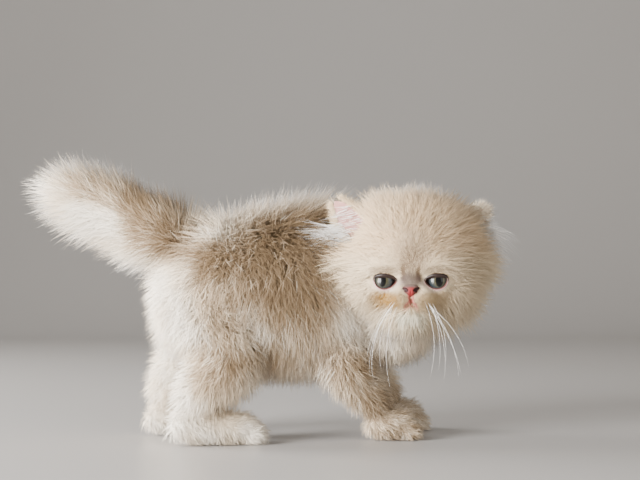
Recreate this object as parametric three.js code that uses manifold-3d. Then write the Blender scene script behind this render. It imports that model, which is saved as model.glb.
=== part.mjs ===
// A Persian kitten of about nine weeks, standing, with its head turned to its right.
// Millimetres, +Z up, the body along X and facing +X. Each node is flesh with the inner
// part of the coat over it, and the outer coat stands on that, lock by lock.

import * as THREE from "three";
import { mergeVertices } from "three/addons/utils/BufferGeometryUtils.js";
import Module from "manifold-3d";

const wasm = await Module();
wasm.setup();
const { sin, cos, abs, sqrt, PI, sign, max, min } = Math;
const V = (x, y, z) => new THREE.Vector3(x, y, z);
const { smoothstep, lerp, degToRad } = THREE.MathUtils;

// Driving dimensions
const GAP = 0.35; // left between two nodes that touch
const CORE_SHARE = 0.45; // the part of the coat's depth that is solid in each node
const FLOOR_CLEARANCE = 1.2; // how far the coat stays above the floor
const SOLE_PRESS = 0.9; // how far each paw is flattened where it stands

// The body's own surfaces. A station is x, y, z of the middle, half width, half height, coat.
const TORSO = [
  [-68, 0, 96, 21, 25, 19],
  [-46, 0, 93, 31, 37, 22],
  [-12, 0, 93, 33, 42, 24],
  [26, 0, 96, 33, 45, 26],
  [54, 0, 94, 29, 41, 24],
  [78, 0, 84, 20, 28, 20],
];
const NECK = [
  [58, -2, 89, 24, 28, 22],
  [79, -18, 84, 24, 27, 25],
  [90, -38, 97, 24, 26, 23],
];
const TAIL = [
  [-60, 0, 124, 10, 11, 17],
  [-82, 3, 136, 9, 9, 19],
  [-106, 6, 147, 7.5, 7.5, 20],
  [-134, 7, 155, 5, 5, 20],
];
const HIND_LEG = {
  right: [
    [-44, -15, 92, 18, 22, 14],
    [-30, -28, 60, 15, 21, 12],
    [-46, -30, 34, 10, 12, 9],
    [-57, -29, 19, 8, 8.5, 7],
  ],
  left: [
    [-48, 15, 92, 18, 22, 14],
    [-42, 28, 60, 15, 20, 12],
    [-59, 29, 36, 10, 12, 9],
    [-67, 28, 20, 8, 8.5, 7],
  ],
};
const FORELEG = {
  right: [
    [54, -14, 86, 14, 20, 14],
    [43, -27, 54, 11, 14, 11],
    [56, -28, 32, 9, 10, 8],
    [68, -27, 18, 8, 8.5, 6],
  ],
  left: [
    [62, 14, 86, 14, 20, 14],
    [66, 26, 54, 11, 14, 11],
    [79, 27, 34, 9, 10, 8],
    [90, 26, 19, 8, 8.5, 6],
  ],
};
// A paw stands from its heel to the root of its toes.
const PAW = { halfWidth: 9.5, halfHeight: 8, coat: 4.5 };
const HEEL = { back: 7, lift: 3, half: 7 };
const ARCH = { lift: 1.5, higher: 1.2 };
const BALL = { ahead: 5, wider: 0.8 };
const TOE = { half: [6.4, 4, 5.4], spread: 4.7, ahead: 8.5, setBack: 1.5, lift: 0.6, fan: 0.1 };
const PAWS = {
  hind_paw_right: { heel: [-60, -29], ball: [-22, -28], toes: 0 },
  hind_paw_left: { heel: [-70, 28], ball: [-37, 29], toes: 4 },
  forepaw_right: { heel: [66, -27], ball: [78, -26], toes: -3 },
  forepaw_left: { heel: [89, 26], ball: [99, 26], toes: 5 },
};

// The head is laid out round its middle: x to the kitten's left, -y to the front, z up.
const HEAD_MIDDLE = V(81.5, -48, 112);
const HEAD_TURN = degToRad(-16);
// Each mass of the head: x, y, z of its middle and its three half sizes. Those with an x
// stand on both sides.
const HEAD_MASSES = [
  [0, 1, 3, 36, 32, 30],
  [0, -8, 13, 28, 24, 21],
  [0, -10, -22, 19, 18, 11],
  [0, -27, -13, 6.5, 7, 6],
  [0, -24, -28, 8, 9, 6.5],
  [18, -11, -12, 16.5, 17, 14],
  [6, -27.5, -21, 8, 8.5, 6.5],
  [15, -22, -2.5, 11, 8.5, 6],
];
const HEAD_BLEND = 5; // how softly the masses flow together
const HALVINGS = 22; // each halves the stretch in which the head's surface is looked for
const HEAD_CORE = V(0, -12, -8); // the head's surface is measured out from here
const FACE_AXIS = V(0, -0.97, -0.24);
const FACE_COAT = 1.6;
const CROWN_COAT = 17;
const CHEEK_COAT = 22;
const FACE_EDGE = [38, 82]; // degrees from the face's axis, where the coat gets deep
const CHEEK_SIDE = [0.35, 0.9]; // and how far aside and how low it is deepest
const CHEEK_LOW = [-0.45, 0.1];
const EYE = { at: [15.8, -22.6, -11.6], radius: 8.2, lid: 1.3, halfWidth: 7.2, halfHeight: 4.7 };
const NOSE = { at: [0, -35, -16.6], half: [5.8, 3.6, 3.4], narrowing: 0.42 };
const NOSTRIL = { at: [3.5, -38.2, -16.2], half: [1.5, 2, 1] };
const PHILTRUM = [[0, -19.5], [0, -22], [0, -24.8]];
const LIP = [[0, -24.6], [3.8, -27.4], [8.5, -29.2], [13, -28.4]];
const LIP_GROOVE = 0.75;
const EAR = [
  [27, 1, 15, 11.5, 6, 4],
  [35, -1, 24, 11.5, 5, 4],
  [42, -3, 32, 9.5, 3.8, 3],
  [47, -4.5, 37.5, 6, 2.4, 2],
];
const EAR_OPENING = V(0.45, -0.87, 0.2); // the way that the cup faces
const EAR_SCOOP = { forward: 3.4, scale: 0.82, rim: 0.6 };
const EAR_SHARE = 0.15; // the ear's coat is thin

// The outer coat, in locks. wide and thick are a lock's own size, along and down are how far
// its tip lies from its root on the surface, reach is how high its tip stands, as a share of
// the coat's depth, step is the room between roots, and from and to bound the part of the
// limb that carries them.
const LOCK_SINK = 2.6; // how deep a lock's root stands in its node
const LOCKS = {
  neck: { wide: 20, thick: 5, along: -12, down: 18, reach: 1.2, step: 16.5, from: 0.25, to: 0.97 },
  torso: { wide: 24, thick: 5.5, along: -22, down: 17, reach: 1.3, step: 18.5, from: 0.03, to: 0.97 },
  tail: { wide: 18, thick: 4, along: 20, down: 2, reach: 1.25, step: 15, from: 0.1, to: 0.96 },
  hind_leg: { wide: 18, thick: 4, along: 17, down: 0, reach: 1.15, step: 16.5, from: 0.08, to: 0.88 },
  foreleg: { wide: 16, thick: 3.6, along: 16, down: 0, reach: 1.12, step: 15.5, from: 0.1, to: 0.92 },
};
const HEAD_LOCK = { wide: 18.5, thick: 4, turn: 24, droop: 0.45, reach: 1.2, step: 16 };
const HEAD_LOCK_RINGS = [56, 73, 90, 107, 124, 141]; // degrees from the face's axis
const LOCK_BELLY = 0.98; // how high a lock's middle stands, as a share of the coat's depth
const LOCK_MIDDLE = 0.36; // how far along its way that middle lies
const LOCK_SHAPE = { root: 0.62, swell: 1.3, taper: 2.2 }; // its width along its length
// The section of a cone with three sides, one wide and one thick.
const TRIANGLE = { wide: 1 / sqrt(3), thick: 2 / 3 };
// How unlike one another the locks are: shares of their own size, shares of a step between
// roots, degrees on the head, and millimetres.
const VARY = {
  length: 0.15,
  width: 0.14,
  reach: 0.07,
  belly: 0.04,
  step: 0.16,
  ring: 2.5,
  along: 2.2,
  aside: 3,
};
const EAR_CLEARING = { forward: 12, half: [11, 11, 12] }; // kept open before each ear
// A lock that would cross another node is tried again higher and shorter.
const LIFTS = [
  [1, 1],
  [1.12, 0.8],
  [1.25, 0.6],
  [1.2, 0.35],
];

// Even draws from a seed, so that the coat is the same each time.
function drawsFrom(seed) {
  let state = seed;
  return (low = -1, high = 1) => {
    state = (state * 1664525 + 1013904223) % 4294967296;
    return low + ((high - low) * state) / 4294967296;
  };
}

// A three.js geometry as a solid, with its shared vertices merged.
function bareOf(geometry) {
  const bare = new THREE.BufferGeometry();
  bare.setAttribute("position", geometry.getAttribute("position"));
  if (geometry.index) bare.setIndex(geometry.index);
  return mergeVertices(bare, 1e-4);
}

function solidOf(geometry) {
  const merged = bareOf(geometry);
  const mesh = new wasm.Mesh({
    numProp: 3,
    vertProperties: new Float32Array(merged.attributes.position.array),
    triVerts: new Uint32Array(merged.index.array),
  });
  return new wasm.Manifold(mesh);
}

// The same geometry with every vertex moved out along its normal.
function grown(geometry, by) {
  const bare = bareOf(geometry);
  bare.computeVertexNormals();
  const place = bare.attributes.position;
  const normal = bare.attributes.normal;
  for (let i = 0; i < place.count; i++) {
    place.setXYZ(
      i,
      place.getX(i) + by * normal.getX(i),
      place.getY(i) + by * normal.getY(i),
      place.getZ(i) + by * normal.getZ(i),
    );
  }
  bare.deleteAttribute("normal");
  return bare;
}

function geometryOf(solid) {
  const mesh = solid.getMesh();
  const geometry = new THREE.BufferGeometry();
  geometry.setAttribute("position", new THREE.BufferAttribute(new Float32Array(mesh.vertProperties), 3));
  geometry.setIndex(new THREE.BufferAttribute(new Uint32Array(mesh.triVerts), 1));
  return geometry;
}

// Pieces joined into one form, with the wider form that keeps a neighbour clear of it.
function formOf(...pieces) {
  return {
    solid: wasm.Manifold.union(pieces.map(solidOf)),
    wider: wasm.Manifold.union(pieces.map((piece) => solidOf(grown(piece, GAP)))),
  };
}

function cutClear(form, ...others) {
  for (const other of others) form.solid = form.solid.subtract(other.wider);
  return form;
}

// Moves every vertex of a geometry by a function of its place.
function shaped(geometry, move) {
  const place = geometry.attributes.position;
  const p = V(0, 0, 0);
  for (let i = 0; i < place.count; i++) {
    const q = move(p.fromBufferAttribute(place, i));
    place.setXYZ(i, q.x, q.y, q.z);
  }
  return geometry;
}

function ellipsoid(at, half, across, down) {
  const ball = new THREE.SphereGeometry(1, across, down);
  return ball.scale(...half).translate(...at);
}

// A tapering round form along a bent line, with rounded ends. t runs from 0 to 1 along it,
// and angle turns from its side (0) to its upper side (a quarter turn).
class Limb {
  constructor(stations, upwards, sides = 14, rings = 12) {
    this.line = new THREE.CatmullRomCurve3(stations.map((s) => V(s[0], s[1], s[2])));
    this.sizes = new THREE.CatmullRomCurve3(stations.map((s) => V(s[3], s[4], s[5])));
    this.upwards = upwards;
    this.sides = sides;
    this.rings = rings;
  }

  // The surface at t and angle, with a share of the coat's depth on it.
  place(t, angle, share) {
    const end = 2 * min(max(t, 0), 1) - 1;
    const waist = sqrt(max(0, 1 - abs(end) ** 6));
    const tangent = this.line.getTangent(t);
    const up = this.upwards.clone().addScaledVector(tangent, -this.upwards.dot(tangent)).normalize();
    const side = up.clone().cross(tangent);
    const size = this.sizes.getPoint(t);
    const round = side.clone().multiplyScalar(size.x * waist * cos(angle));
    round.addScaledVector(up, size.y * waist * sin(angle));
    const outward = side.multiplyScalar(cos(angle) * waist).addScaledVector(up, sin(angle) * waist);
    outward.addScaledVector(tangent, sign(end) * abs(end) ** 5).normalize();
    return this.line.getPoint(t).add(round).addScaledVector(outward, share * size.z);
  }

  geometry(share) {
    const ball = new THREE.SphereGeometry(1, this.sides, this.rings);
    return shaped(ball, (p) => this.place((1 - p.y) / 2, Math.atan2(p.z, p.x), share));
  }
}

// The head's masses flow together. Negative inside, and about a distance in millimetres.
function headField(p) {
  let field = Infinity;
  for (const [x, y, z, a, b, c] of HEAD_MASSES) {
    const q = V((abs(p.x) - x) / a, (p.y - y) / b, (p.z - z) / c);
    if (x === 0) q.x = p.x / a;
    const near = q.length();
    const steep = V(q.x / a, q.y / b, q.z / c).length();
    const mass = steep > 0 ? (near * (near - 1)) / steep : -min(a, b, c);
    const mix = max(HEAD_BLEND - abs(field - mass), 0) / HEAD_BLEND;
    field = min(field, mass) - (mix * mix * HEAD_BLEND) / 4;
  }
  return field;
}

// How deep the coat is on the head, in a direction from its core.
function headCoat(way) {
  const fromFace = Math.acos(min(1, max(-1, way.dot(FACE_AXIS.clone().normalize()))));
  const side = smoothstep(abs(way.x), ...CHEEK_SIDE) * smoothstep(-way.z, ...CHEEK_LOW);
  const deep = lerp(CROWN_COAT, CHEEK_COAT, side);
  return lerp(FACE_COAT, deep, smoothstep(fromFace, ...FACE_EDGE.map(degToRad)));
}

function headPlace(way, share) {
  let near = 5;
  let far = 90;
  for (let i = 0; i < HALVINGS; i++) {
    const middle = (near + far) / 2;
    if (headField(HEAD_CORE.clone().addScaledVector(way, middle)) < 0) near = middle;
    else far = middle;
  }
  return HEAD_CORE.clone().addScaledVector(way, near + share * headCoat(way));
}

// The front of the face at x and z.
function facePlace(x, z) {
  let near = -5;
  let far = -60;
  for (let i = 0; i < HALVINGS; i++) {
    const middle = (near + far) / 2;
    if (headField(V(x, middle, z)) < 0) near = middle;
    else far = middle;
  }
  return [x, near - CORE_SHARE * FACE_COAT, z];
}

const headToBody = new THREE.Matrix4().makeRotationZ(HEAD_TURN).setPosition(HEAD_MIDDLE);
const inBody = (geometry) => geometry.applyMatrix4(headToBody);

// A flat, tapered lock of three sides that bends from its root over its middle to its tip.
function lockGeometry(root, middle, tip, outward, wide, thick) {
  const line = new THREE.QuadraticBezierCurve3(root, middle, tip);
  const cone = new THREE.ConeGeometry(1, 1, 3, 3);
  return shaped(cone, (p) => {
    const t = p.y + 0.5;
    const reach = max(1 - t, 1e-6);
    const tangent = line.getTangent(t);
    const up = outward.clone().addScaledVector(tangent, -outward.dot(tangent)).normalize();
    const side = tangent.clone().cross(up);
    const full = min(1, LOCK_SHAPE.root + LOCK_SHAPE.swell * t) * (1 - t ** LOCK_SHAPE.taper);
    return line
      .getPoint(t)
      .addScaledVector(side, (p.x / reach) * TRIANGLE.wide * wide * full)
      .addScaledVector(up, (p.z / reach) * TRIANGLE.thick * thick * full);
  });
}

const UP = V(0, 0, 1);
const FORWARDS = V(1, 0, 0);
const SIDES = [["right", -1], ["left", 1]]; // the kitten's own right and left

const torso = new Limb(TORSO, UP, 18, 14);
const neck = new Limb(NECK, UP, 14, 9);
const tail = new Limb(TAIL, UP, 12, 14);
const hindLeg = {
  right: new Limb(HIND_LEG.right, FORWARDS, 12, 12),
  left: new Limb(HIND_LEG.left, FORWARDS, 12, 12),
};
const foreleg = {
  right: new Limb(FORELEG.right, FORWARDS, 12, 11),
  left: new Limb(FORELEG.left, FORWARDS, 12, 11),
};

// A box beyond a plane, to cut with.
function beyond(point, normal) {
  const size = 400;
  const box = new THREE.BoxGeometry(size, size, size).translate(0, 0, size / 2);
  const turn = new THREE.Quaternion().setFromUnitVectors(UP, normal.clone().normalize());
  return solidOf(box.applyQuaternion(turn).translate(point.x, point.y, point.z));
}

function largest(solid) {
  return solid.decompose().reduce((a, b) => (b.volume() > a.volume() ? b : a));
}

// A paw: a low form from heel to toes, four toes, and a flat sole on the floor.
function pawForm({ heel, ball, toes }) {
  const { halfWidth, halfHeight, coat } = PAW;
  const along = V(ball[0] - heel[0], ball[1] - heel[1], 0);
  const yaw = Math.atan2(along.y, along.x) + degToRad(toes);
  const low = halfHeight + CORE_SHARE * coat - SOLE_PRESS;
  const middle = [(heel[0] + ball[0]) / 2, (heel[1] + ball[1]) / 2];
  const foot = new Limb(
    [
      [heel[0] - HEEL.back, heel[1], low + HEEL.lift, HEEL.half, HEEL.half, coat],
      [...middle, low + ARCH.lift, halfWidth, halfHeight + ARCH.higher, coat],
      [ball[0] + BALL.ahead, ball[1], low, halfWidth + BALL.wider, halfHeight, coat],
    ],
    UP,
    9,
    6,
  );
  const pieces = [foot.geometry(CORE_SHARE)];
  for (const k of [-1.5, -0.5, 0.5, 1.5]) {
    const forward = TOE.ahead - TOE.setBack * abs(k);
    const at = [
      ball[0] + cos(yaw) * forward - sin(yaw) * k * TOE.spread,
      ball[1] + sin(yaw) * forward + cos(yaw) * k * TOE.spread,
      TOE.half[2] - SOLE_PRESS + TOE.lift,
    ];
    const digit = new THREE.SphereGeometry(1, 7, 5).scale(...TOE.half).rotateZ(yaw + TOE.fan * k);
    pieces.push(digit.translate(...at));
  }
  const form = formOf(...pieces);
  form.solid = form.solid.subtract(beyond(V(0, 0, 0), V(0, 0, -1)));
  return form;
}

function noseForm() {
  const pad = shaped(new THREE.SphereGeometry(1, 10, 7), (p) => {
    const narrow = 1 - NOSE.narrowing * smoothstep(-p.z, -0.1, 1);
    return V(p.x * NOSE.half[0] * narrow, p.y * NOSE.half[1], p.z * NOSE.half[2]);
  });
  const form = formOf(inBody(pad.translate(...NOSE.at)));
  for (const [, side] of SIDES) {
    const [x, y, z] = NOSTRIL.at;
    const nostril = solidOf(inBody(ellipsoid([side * x, y, z], NOSTRIL.half, 6, 4)));
    form.solid = form.solid.subtract(nostril);
  }
  return form;
}

const eyeMiddle = (side) => [side * EYE.at[0], EYE.at[1], EYE.at[2]];

function eyeForm(side) {
  return formOf(inBody(ellipsoid(eyeMiddle(side), Array(3).fill(EYE.radius), 12, 9)));
}

// The head: its blended masses, a lid round each eye, and the line of the mouth cut in.
function headForm(nose, eyes) {
  const skin = shaped(new THREE.IcosahedronGeometry(1, 6), (p) =>
    headPlace(p.clone().normalize(), CORE_SHARE),
  );
  const lids = SIDES.map(([, side]) =>
    ellipsoid(eyeMiddle(side), Array(3).fill(EYE.radius + EYE.lid), 12, 9),
  );
  const form = formOf(...[skin, ...lids].map(inBody));
  cutClear(form, nose, ...eyes);
  for (const [, side] of SIDES) {
    const at = eyeMiddle(side);
    const opening = new THREE.CylinderGeometry(1, 1, 30, 14);
    opening.scale(EYE.halfWidth, 1, EYE.halfHeight).translate(at[0], at[1] - 15, at[2]);
    form.solid = form.solid.subtract(solidOf(inBody(opening)));
  }
  for (const [points, side] of [[PHILTRUM, 1], [LIP, 1], [LIP, -1]]) {
    const stations = points.map(([x, z]) => [...facePlace(side * x, z), LIP_GROOVE, LIP_GROOVE, 0]);
    const groove = new Limb(stations, V(0, -1, 0), 5, 6).geometry(0);
    form.solid = form.solid.subtract(solidOf(inBody(groove)));
  }
  return form;
}

const earFacing = (side) => V(side * EAR_OPENING.x, EAR_OPENING.y, EAR_OPENING.z).normalize();

// An ear: a rounded blade with a cup scooped out of its front.
function earForm(side) {
  const facing = earFacing(side);
  const stations = EAR.map(([x, y, z, w, h, c]) => [side * x, y, z, w, h, c]);
  const form = formOf(inBody(new Limb(stations, facing, 12, 8).geometry(EAR_SHARE)));
  const cupStations = EAR.map(([x, y, z, w, h]) => [
    side * (x - EAR_SCOOP.rim) + facing.x * EAR_SCOOP.forward,
    y + facing.y * EAR_SCOOP.forward,
    z - EAR_SCOOP.rim + facing.z * EAR_SCOOP.forward,
    w * EAR_SCOOP.scale,
    h * EAR_SCOOP.scale,
    0,
  ]);
  const cup = solidOf(inBody(new Limb(cupStations, facing, 10, 7).geometry(0)));
  form.solid = form.solid.subtract(cup);
  return form;
}

// Flesh and inner coat, parted where a person would name the parts. Each form is cut clear
// of those that were laid down before it.
const forms = new Map();
const laid = (...names) => names.map((name) => forms.get(name));
forms.set("nose", noseForm());
for (const [name, side] of SIDES) forms.set("eye_" + name, eyeForm(side));
forms.set("head", headForm(...laid("nose"), laid("eye_right", "eye_left")));
for (const [name, side] of SIDES) {
  forms.set("ear_" + name, cutClear(earForm(side), ...laid("head")));
}
forms.set("torso", cutClear(formOf(torso.geometry(CORE_SHARE)), ...laid("head", "ear_right")));
forms.set("neck", cutClear(formOf(neck.geometry(CORE_SHARE)), ...laid("head", "torso")));
for (const name of Object.keys(PAWS)) forms.set(name, pawForm(PAWS[name]));
for (const [side] of SIDES) {
  const hind = cutClear(formOf(hindLeg[side].geometry(CORE_SHARE)), ...laid("torso", "hind_paw_" + side));
  forms.set("hind_leg_" + side, hind);
  const fore = formOf(foreleg[side].geometry(CORE_SHARE));
  forms.set("foreleg_" + side, cutClear(fore, ...laid("torso", "head", "neck", "forepaw_" + side)));
}
forms.set("tail", cutClear(formOf(tail.geometry(CORE_SHARE)), ...laid("torso")));

// Every node's flesh and inner coat is in place before the first lock is set. A lock stays
// only where it is clear of all that belongs to another node, and of the floor.
const taken = [];
const locks = new Map();
for (const [name, form] of forms) {
  form.solid = largest(form.solid);
  taken.push({ name, solid: form.solid, box: boxOf(geometryOf(form.solid)) });
  locks.set(name, []);
}

function boxOf(geometry) {
  geometry.computeBoundingBox();
  return geometry.boundingBox;
}

function setLock(name, lockAtLift) {
  for (const [lift, length] of LIFTS) {
    const geometry = lockAtLift(lift, length);
    const wider = grown(geometry, GAP);
    const room = boxOf(wider);
    if (room.min.z < FLOOR_CLEARANCE) continue;
    const solid = solidOf(geometry);
    const guard = solid.add(solidOf(wider));
    const crossed = taken.some(
      (other) =>
        other.name !== name &&
        other.box.intersectsBox(room) &&
        !guard.intersect(other.solid).isEmpty(),
    );
    if (crossed) continue;
    taken.push({ name, solid, box: boxOf(geometry) });
    locks.get(name).push(solid);
    return;
  }
}

const within = (t) => min(0.98, max(0.02, t));

// Rows of locks over a limb, each row half a step round from the last.
function coverLimb(name, limb, kind, seed) {
  const { wide, thick, along, down, reach: high, step, from, to } = LOCKS[kind];
  const draw = drawsFrom(seed);
  const length = limb.line.getLength();
  const rows = max(2, Math.round(((to - from) * length) / step));
  for (let row = 0; row < rows; row++) {
    const rowT = lerp(from, to, rows > 1 ? row / (rows - 1) : 0);
    const size = limb.sizes.getPoint(rowT);
    const waist = sqrt(max(0, 1 - abs(2 * rowT - 1) ** 6));
    const round = PI * (size.x + size.y) * waist + 2 * PI * CORE_SHARE * size.z;
    const count = max(4, Math.round(round / step));
    for (let k = 0; k < count; k++) {
      const t = within(rowT + (draw() * VARY.along) / length);
      const angle = ((k + (row % 2) / 2 + VARY.step * draw()) * 2 * PI) / count;
      const vary = [draw(), draw(), draw(), draw()];
      setLock(name, (lift, share) => limbLock(limb, t, angle, vary, lift, share));
    }
  }

  function limbLock(on, t, angle, vary, lift, share) {
    const base = on.place(t, angle, CORE_SHARE);
    const outward = on.place(t, angle, 1).sub(on.place(t, angle, 0)).normalize();
    const tangent = on.line.getTangent(t);
    const aroundWay = on.place(t, angle + 0.01, CORE_SHARE).sub(base);
    const perRadian = aroundWay.length() / 0.01;
    aroundWay.normalize();
    const reach = tangent.clone().multiplyScalar(along * (1 + VARY.length * vary[0]));
    reach.addScaledVector(UP, -down).addScaledVector(aroundWay, VARY.aside * vary[1]);
    reach.multiplyScalar(share);
    const dt = reach.dot(tangent) / length;
    const turn = reach.dot(aroundWay) / perRadian;
    const coat = on.sizes.getPoint(t).z;
    const root = on.place(t, angle, CORE_SHARE - LOCK_SINK / coat);
    const belly = lift * (LOCK_BELLY + VARY.belly * vary[2]);
    const middle = on.place(within(t + LOCK_MIDDLE * dt), angle + LOCK_MIDDLE * turn, belly);
    const tip = on.place(within(t + dt), angle + turn, lift * (high + VARY.reach * vary[3]));
    return lockGeometry(root, middle, tip, outward, wide * (1 + VARY.width * vary[2]), thick);
  }
}

// Rings of locks round the head, lying away from the face and drooping at the cheeks.
function coverHead(seed) {
  const draw = drawsFrom(seed);
  const axis = FACE_AXIS.clone().normalize();
  const across = V(1, 0, 0);
  const above = axis.clone().cross(across).negate().normalize();
  const { wide, thick, turn, droop, reach, step } = HEAD_LOCK;
  const before = taken.length;
  for (const [, side] of SIDES) {
    const [x, y, z] = EAR[2];
    const at = earFacing(side).multiplyScalar(EAR_CLEARING.forward).add(V(side * x, y, z));
    const room = inBody(ellipsoid(at.toArray(), EAR_CLEARING.half, 8, 6));
    taken.push({ name: "clearing", solid: solidOf(room), box: boxOf(room) });
  }
  HEAD_LOCK_RINGS.forEach((ring, row) => {
    const radius = headPlace(across, CORE_SHARE).sub(HEAD_CORE).length();
    const count = Math.round((2 * PI * radius * sin(degToRad(ring))) / step);
    for (let k = 0; k < count; k++) {
      const fromFace = degToRad(ring + VARY.ring * draw());
      const round = ((k + (row % 2) / 2 + VARY.step * draw()) * 2 * PI) / count;
      const way = axis.clone().multiplyScalar(cos(fromFace));
      way.addScaledVector(across, sin(fromFace) * cos(round));
      way.addScaledVector(above, sin(fromFace) * sin(round));
      const vary = [draw(), draw(), draw()];
      setLock("head", (lift, share) => {
        const away = way.clone().multiplyScalar(axis.dot(way)).sub(axis);
        away.normalize().addScaledVector(UP, -droop * abs(way.x));
        const swing = degToRad(turn) * (1 + VARY.length * vary[0]) * share;
        const tipWay = way.clone().addScaledVector(away, Math.tan(swing)).normalize();
        const halfway = Math.tan(LOCK_MIDDLE * swing);
        const middleWay = way.clone().addScaledVector(away, halfway).normalize();
        const outward = way.clone().transformDirection(headToBody);
        const root = headPlace(way, CORE_SHARE - LOCK_SINK / headCoat(way)).applyMatrix4(headToBody);
        const middle = headPlace(middleWay, LOCK_BELLY * lift).applyMatrix4(headToBody);
        const rise = lift * (reach + VARY.reach * vary[1]);
        const tip = headPlace(tipWay, rise).applyMatrix4(headToBody);
        return lockGeometry(root, middle, tip, outward, wide * (1 + VARY.width * vary[2]), thick);
      });
    }
  });
  taken.splice(before, 2);
}

coverHead(11);
coverLimb("neck", neck, "neck", 23);
coverLimb("tail", tail, "tail", 41);
coverLimb("torso", torso, "torso", 37);
for (const [side, sign] of SIDES) {
  coverLimb("foreleg_" + side, foreleg[side], "foreleg", 53 + sign);
  coverLimb("hind_leg_" + side, hindLeg[side], "hind_leg", 67 + sign);
}
for (const [name, form] of forms) {
  form.solid = wasm.Manifold.union([form.solid, ...locks.get(name)]);
}

const COLOURS = {
  coat: [0xd9bd9a, 0.85],
  eye: [0x5d6b72, 0.1],
  nose: [0xd98a86, 0.5],
};
const model = new THREE.Group();
const box = new THREE.Box3();
for (const [name, form] of forms) {
  const kind = name.startsWith("eye") ? "eye" : name === "nose" ? "nose" : "coat";
  const [color, roughness] = COLOURS[kind];
  const material = new THREE.MeshStandardMaterial({ color, roughness, metalness: 0 });
  const mesh = new THREE.Mesh(geometryOf(largest(form.solid)), material);
  mesh.name = name;
  model.add(mesh);
  box.expandByObject(mesh);
}
// The origin stands on the floor, under the middle of the whole kitten.
model.position.set(-(box.min.x + box.max.x) / 2, -(box.min.y + box.max.y) / 2, -box.min.z);

export default model;
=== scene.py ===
import math

import bmesh
import bpy
import numpy as np
from mathutils import Matrix, Vector, kdtree


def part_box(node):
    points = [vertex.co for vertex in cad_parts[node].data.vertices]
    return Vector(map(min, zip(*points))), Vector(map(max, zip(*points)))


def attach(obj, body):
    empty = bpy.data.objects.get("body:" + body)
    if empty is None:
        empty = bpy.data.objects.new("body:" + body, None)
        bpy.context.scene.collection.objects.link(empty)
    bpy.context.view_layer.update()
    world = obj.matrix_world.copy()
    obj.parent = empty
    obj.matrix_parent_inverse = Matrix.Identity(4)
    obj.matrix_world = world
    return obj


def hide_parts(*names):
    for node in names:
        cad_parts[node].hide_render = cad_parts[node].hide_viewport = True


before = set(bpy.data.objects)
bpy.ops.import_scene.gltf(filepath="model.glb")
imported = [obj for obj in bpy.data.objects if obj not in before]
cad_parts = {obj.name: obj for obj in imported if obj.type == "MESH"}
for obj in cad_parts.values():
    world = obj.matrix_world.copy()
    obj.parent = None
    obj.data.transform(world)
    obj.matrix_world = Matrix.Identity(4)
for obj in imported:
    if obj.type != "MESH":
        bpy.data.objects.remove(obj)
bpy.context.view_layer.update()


# Where the kitten stands. Sizes are millimetres in its own frame, with x forwards along the
# body, y to its left and z up from the floor. Its head has a frame of its own, turned to the
# right, with -y to the front. The eyes' nodes tie both to the room.
MM = 0.001
HEAD_MIDDLE = np.array([81.5, -48.0, 112.0])
HEAD_TURN = math.radians(-16)
EYE_AT = np.array([15.8, -22.6, -11.6])
EYE_RADIUS = 8.2
SIDES = {"right": -1, "left": 1}
HEAD_AXES = np.array(Matrix.Rotation(HEAD_TURN, 3, "Z"))


def from_head(points):
    return points @ HEAD_AXES.T + HEAD_MIDDLE


def to_head(points):
    return (points - HEAD_MIDDLE) @ HEAD_AXES


def middle_of(node):
    low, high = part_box(node)
    return np.array(low + high) / 2 / MM


ORIGIN = (middle_of("eye_right") + middle_of("eye_left")) / 2 - from_head(EYE_AT * (0, 1, 1))


# The camera looks at the kitten's right side from a little behind square, low down and
# tilted up slightly, with a long lens.
CAMERA_SWING = math.radians(-12)
CAMERA_ASIDE, CAMERA_AWAY, CAMERA_HEIGHT = 33, 812, 96
CAMERA_TILT = math.radians(2.25)
CAMERA_LENS, CAMERA_NEAREST = 70.3, 0.05


def placed(name, data):
    """Puts a camera, a lamp or a mesh into the scene as an object."""
    thing = bpy.data.objects.new(name, data)
    bpy.context.collection.objects.link(thing)
    return thing


camera = placed("camera", bpy.data.cameras.new("camera"))
camera.data.lens = CAMERA_LENS
camera.data.clip_start = CAMERA_NEAREST
swing = Matrix.Rotation(CAMERA_SWING, 3, "Z")
stand = np.array(swing @ Vector((CAMERA_ASIDE, -CAMERA_AWAY, 0))) + (0, 0, CAMERA_HEIGHT)
camera.location = (stand + ORIGIN) * MM
camera.rotation_euler = (math.pi / 2 + CAMERA_TILT, 0, CAMERA_SWING)
bpy.context.scene.camera = camera


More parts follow.
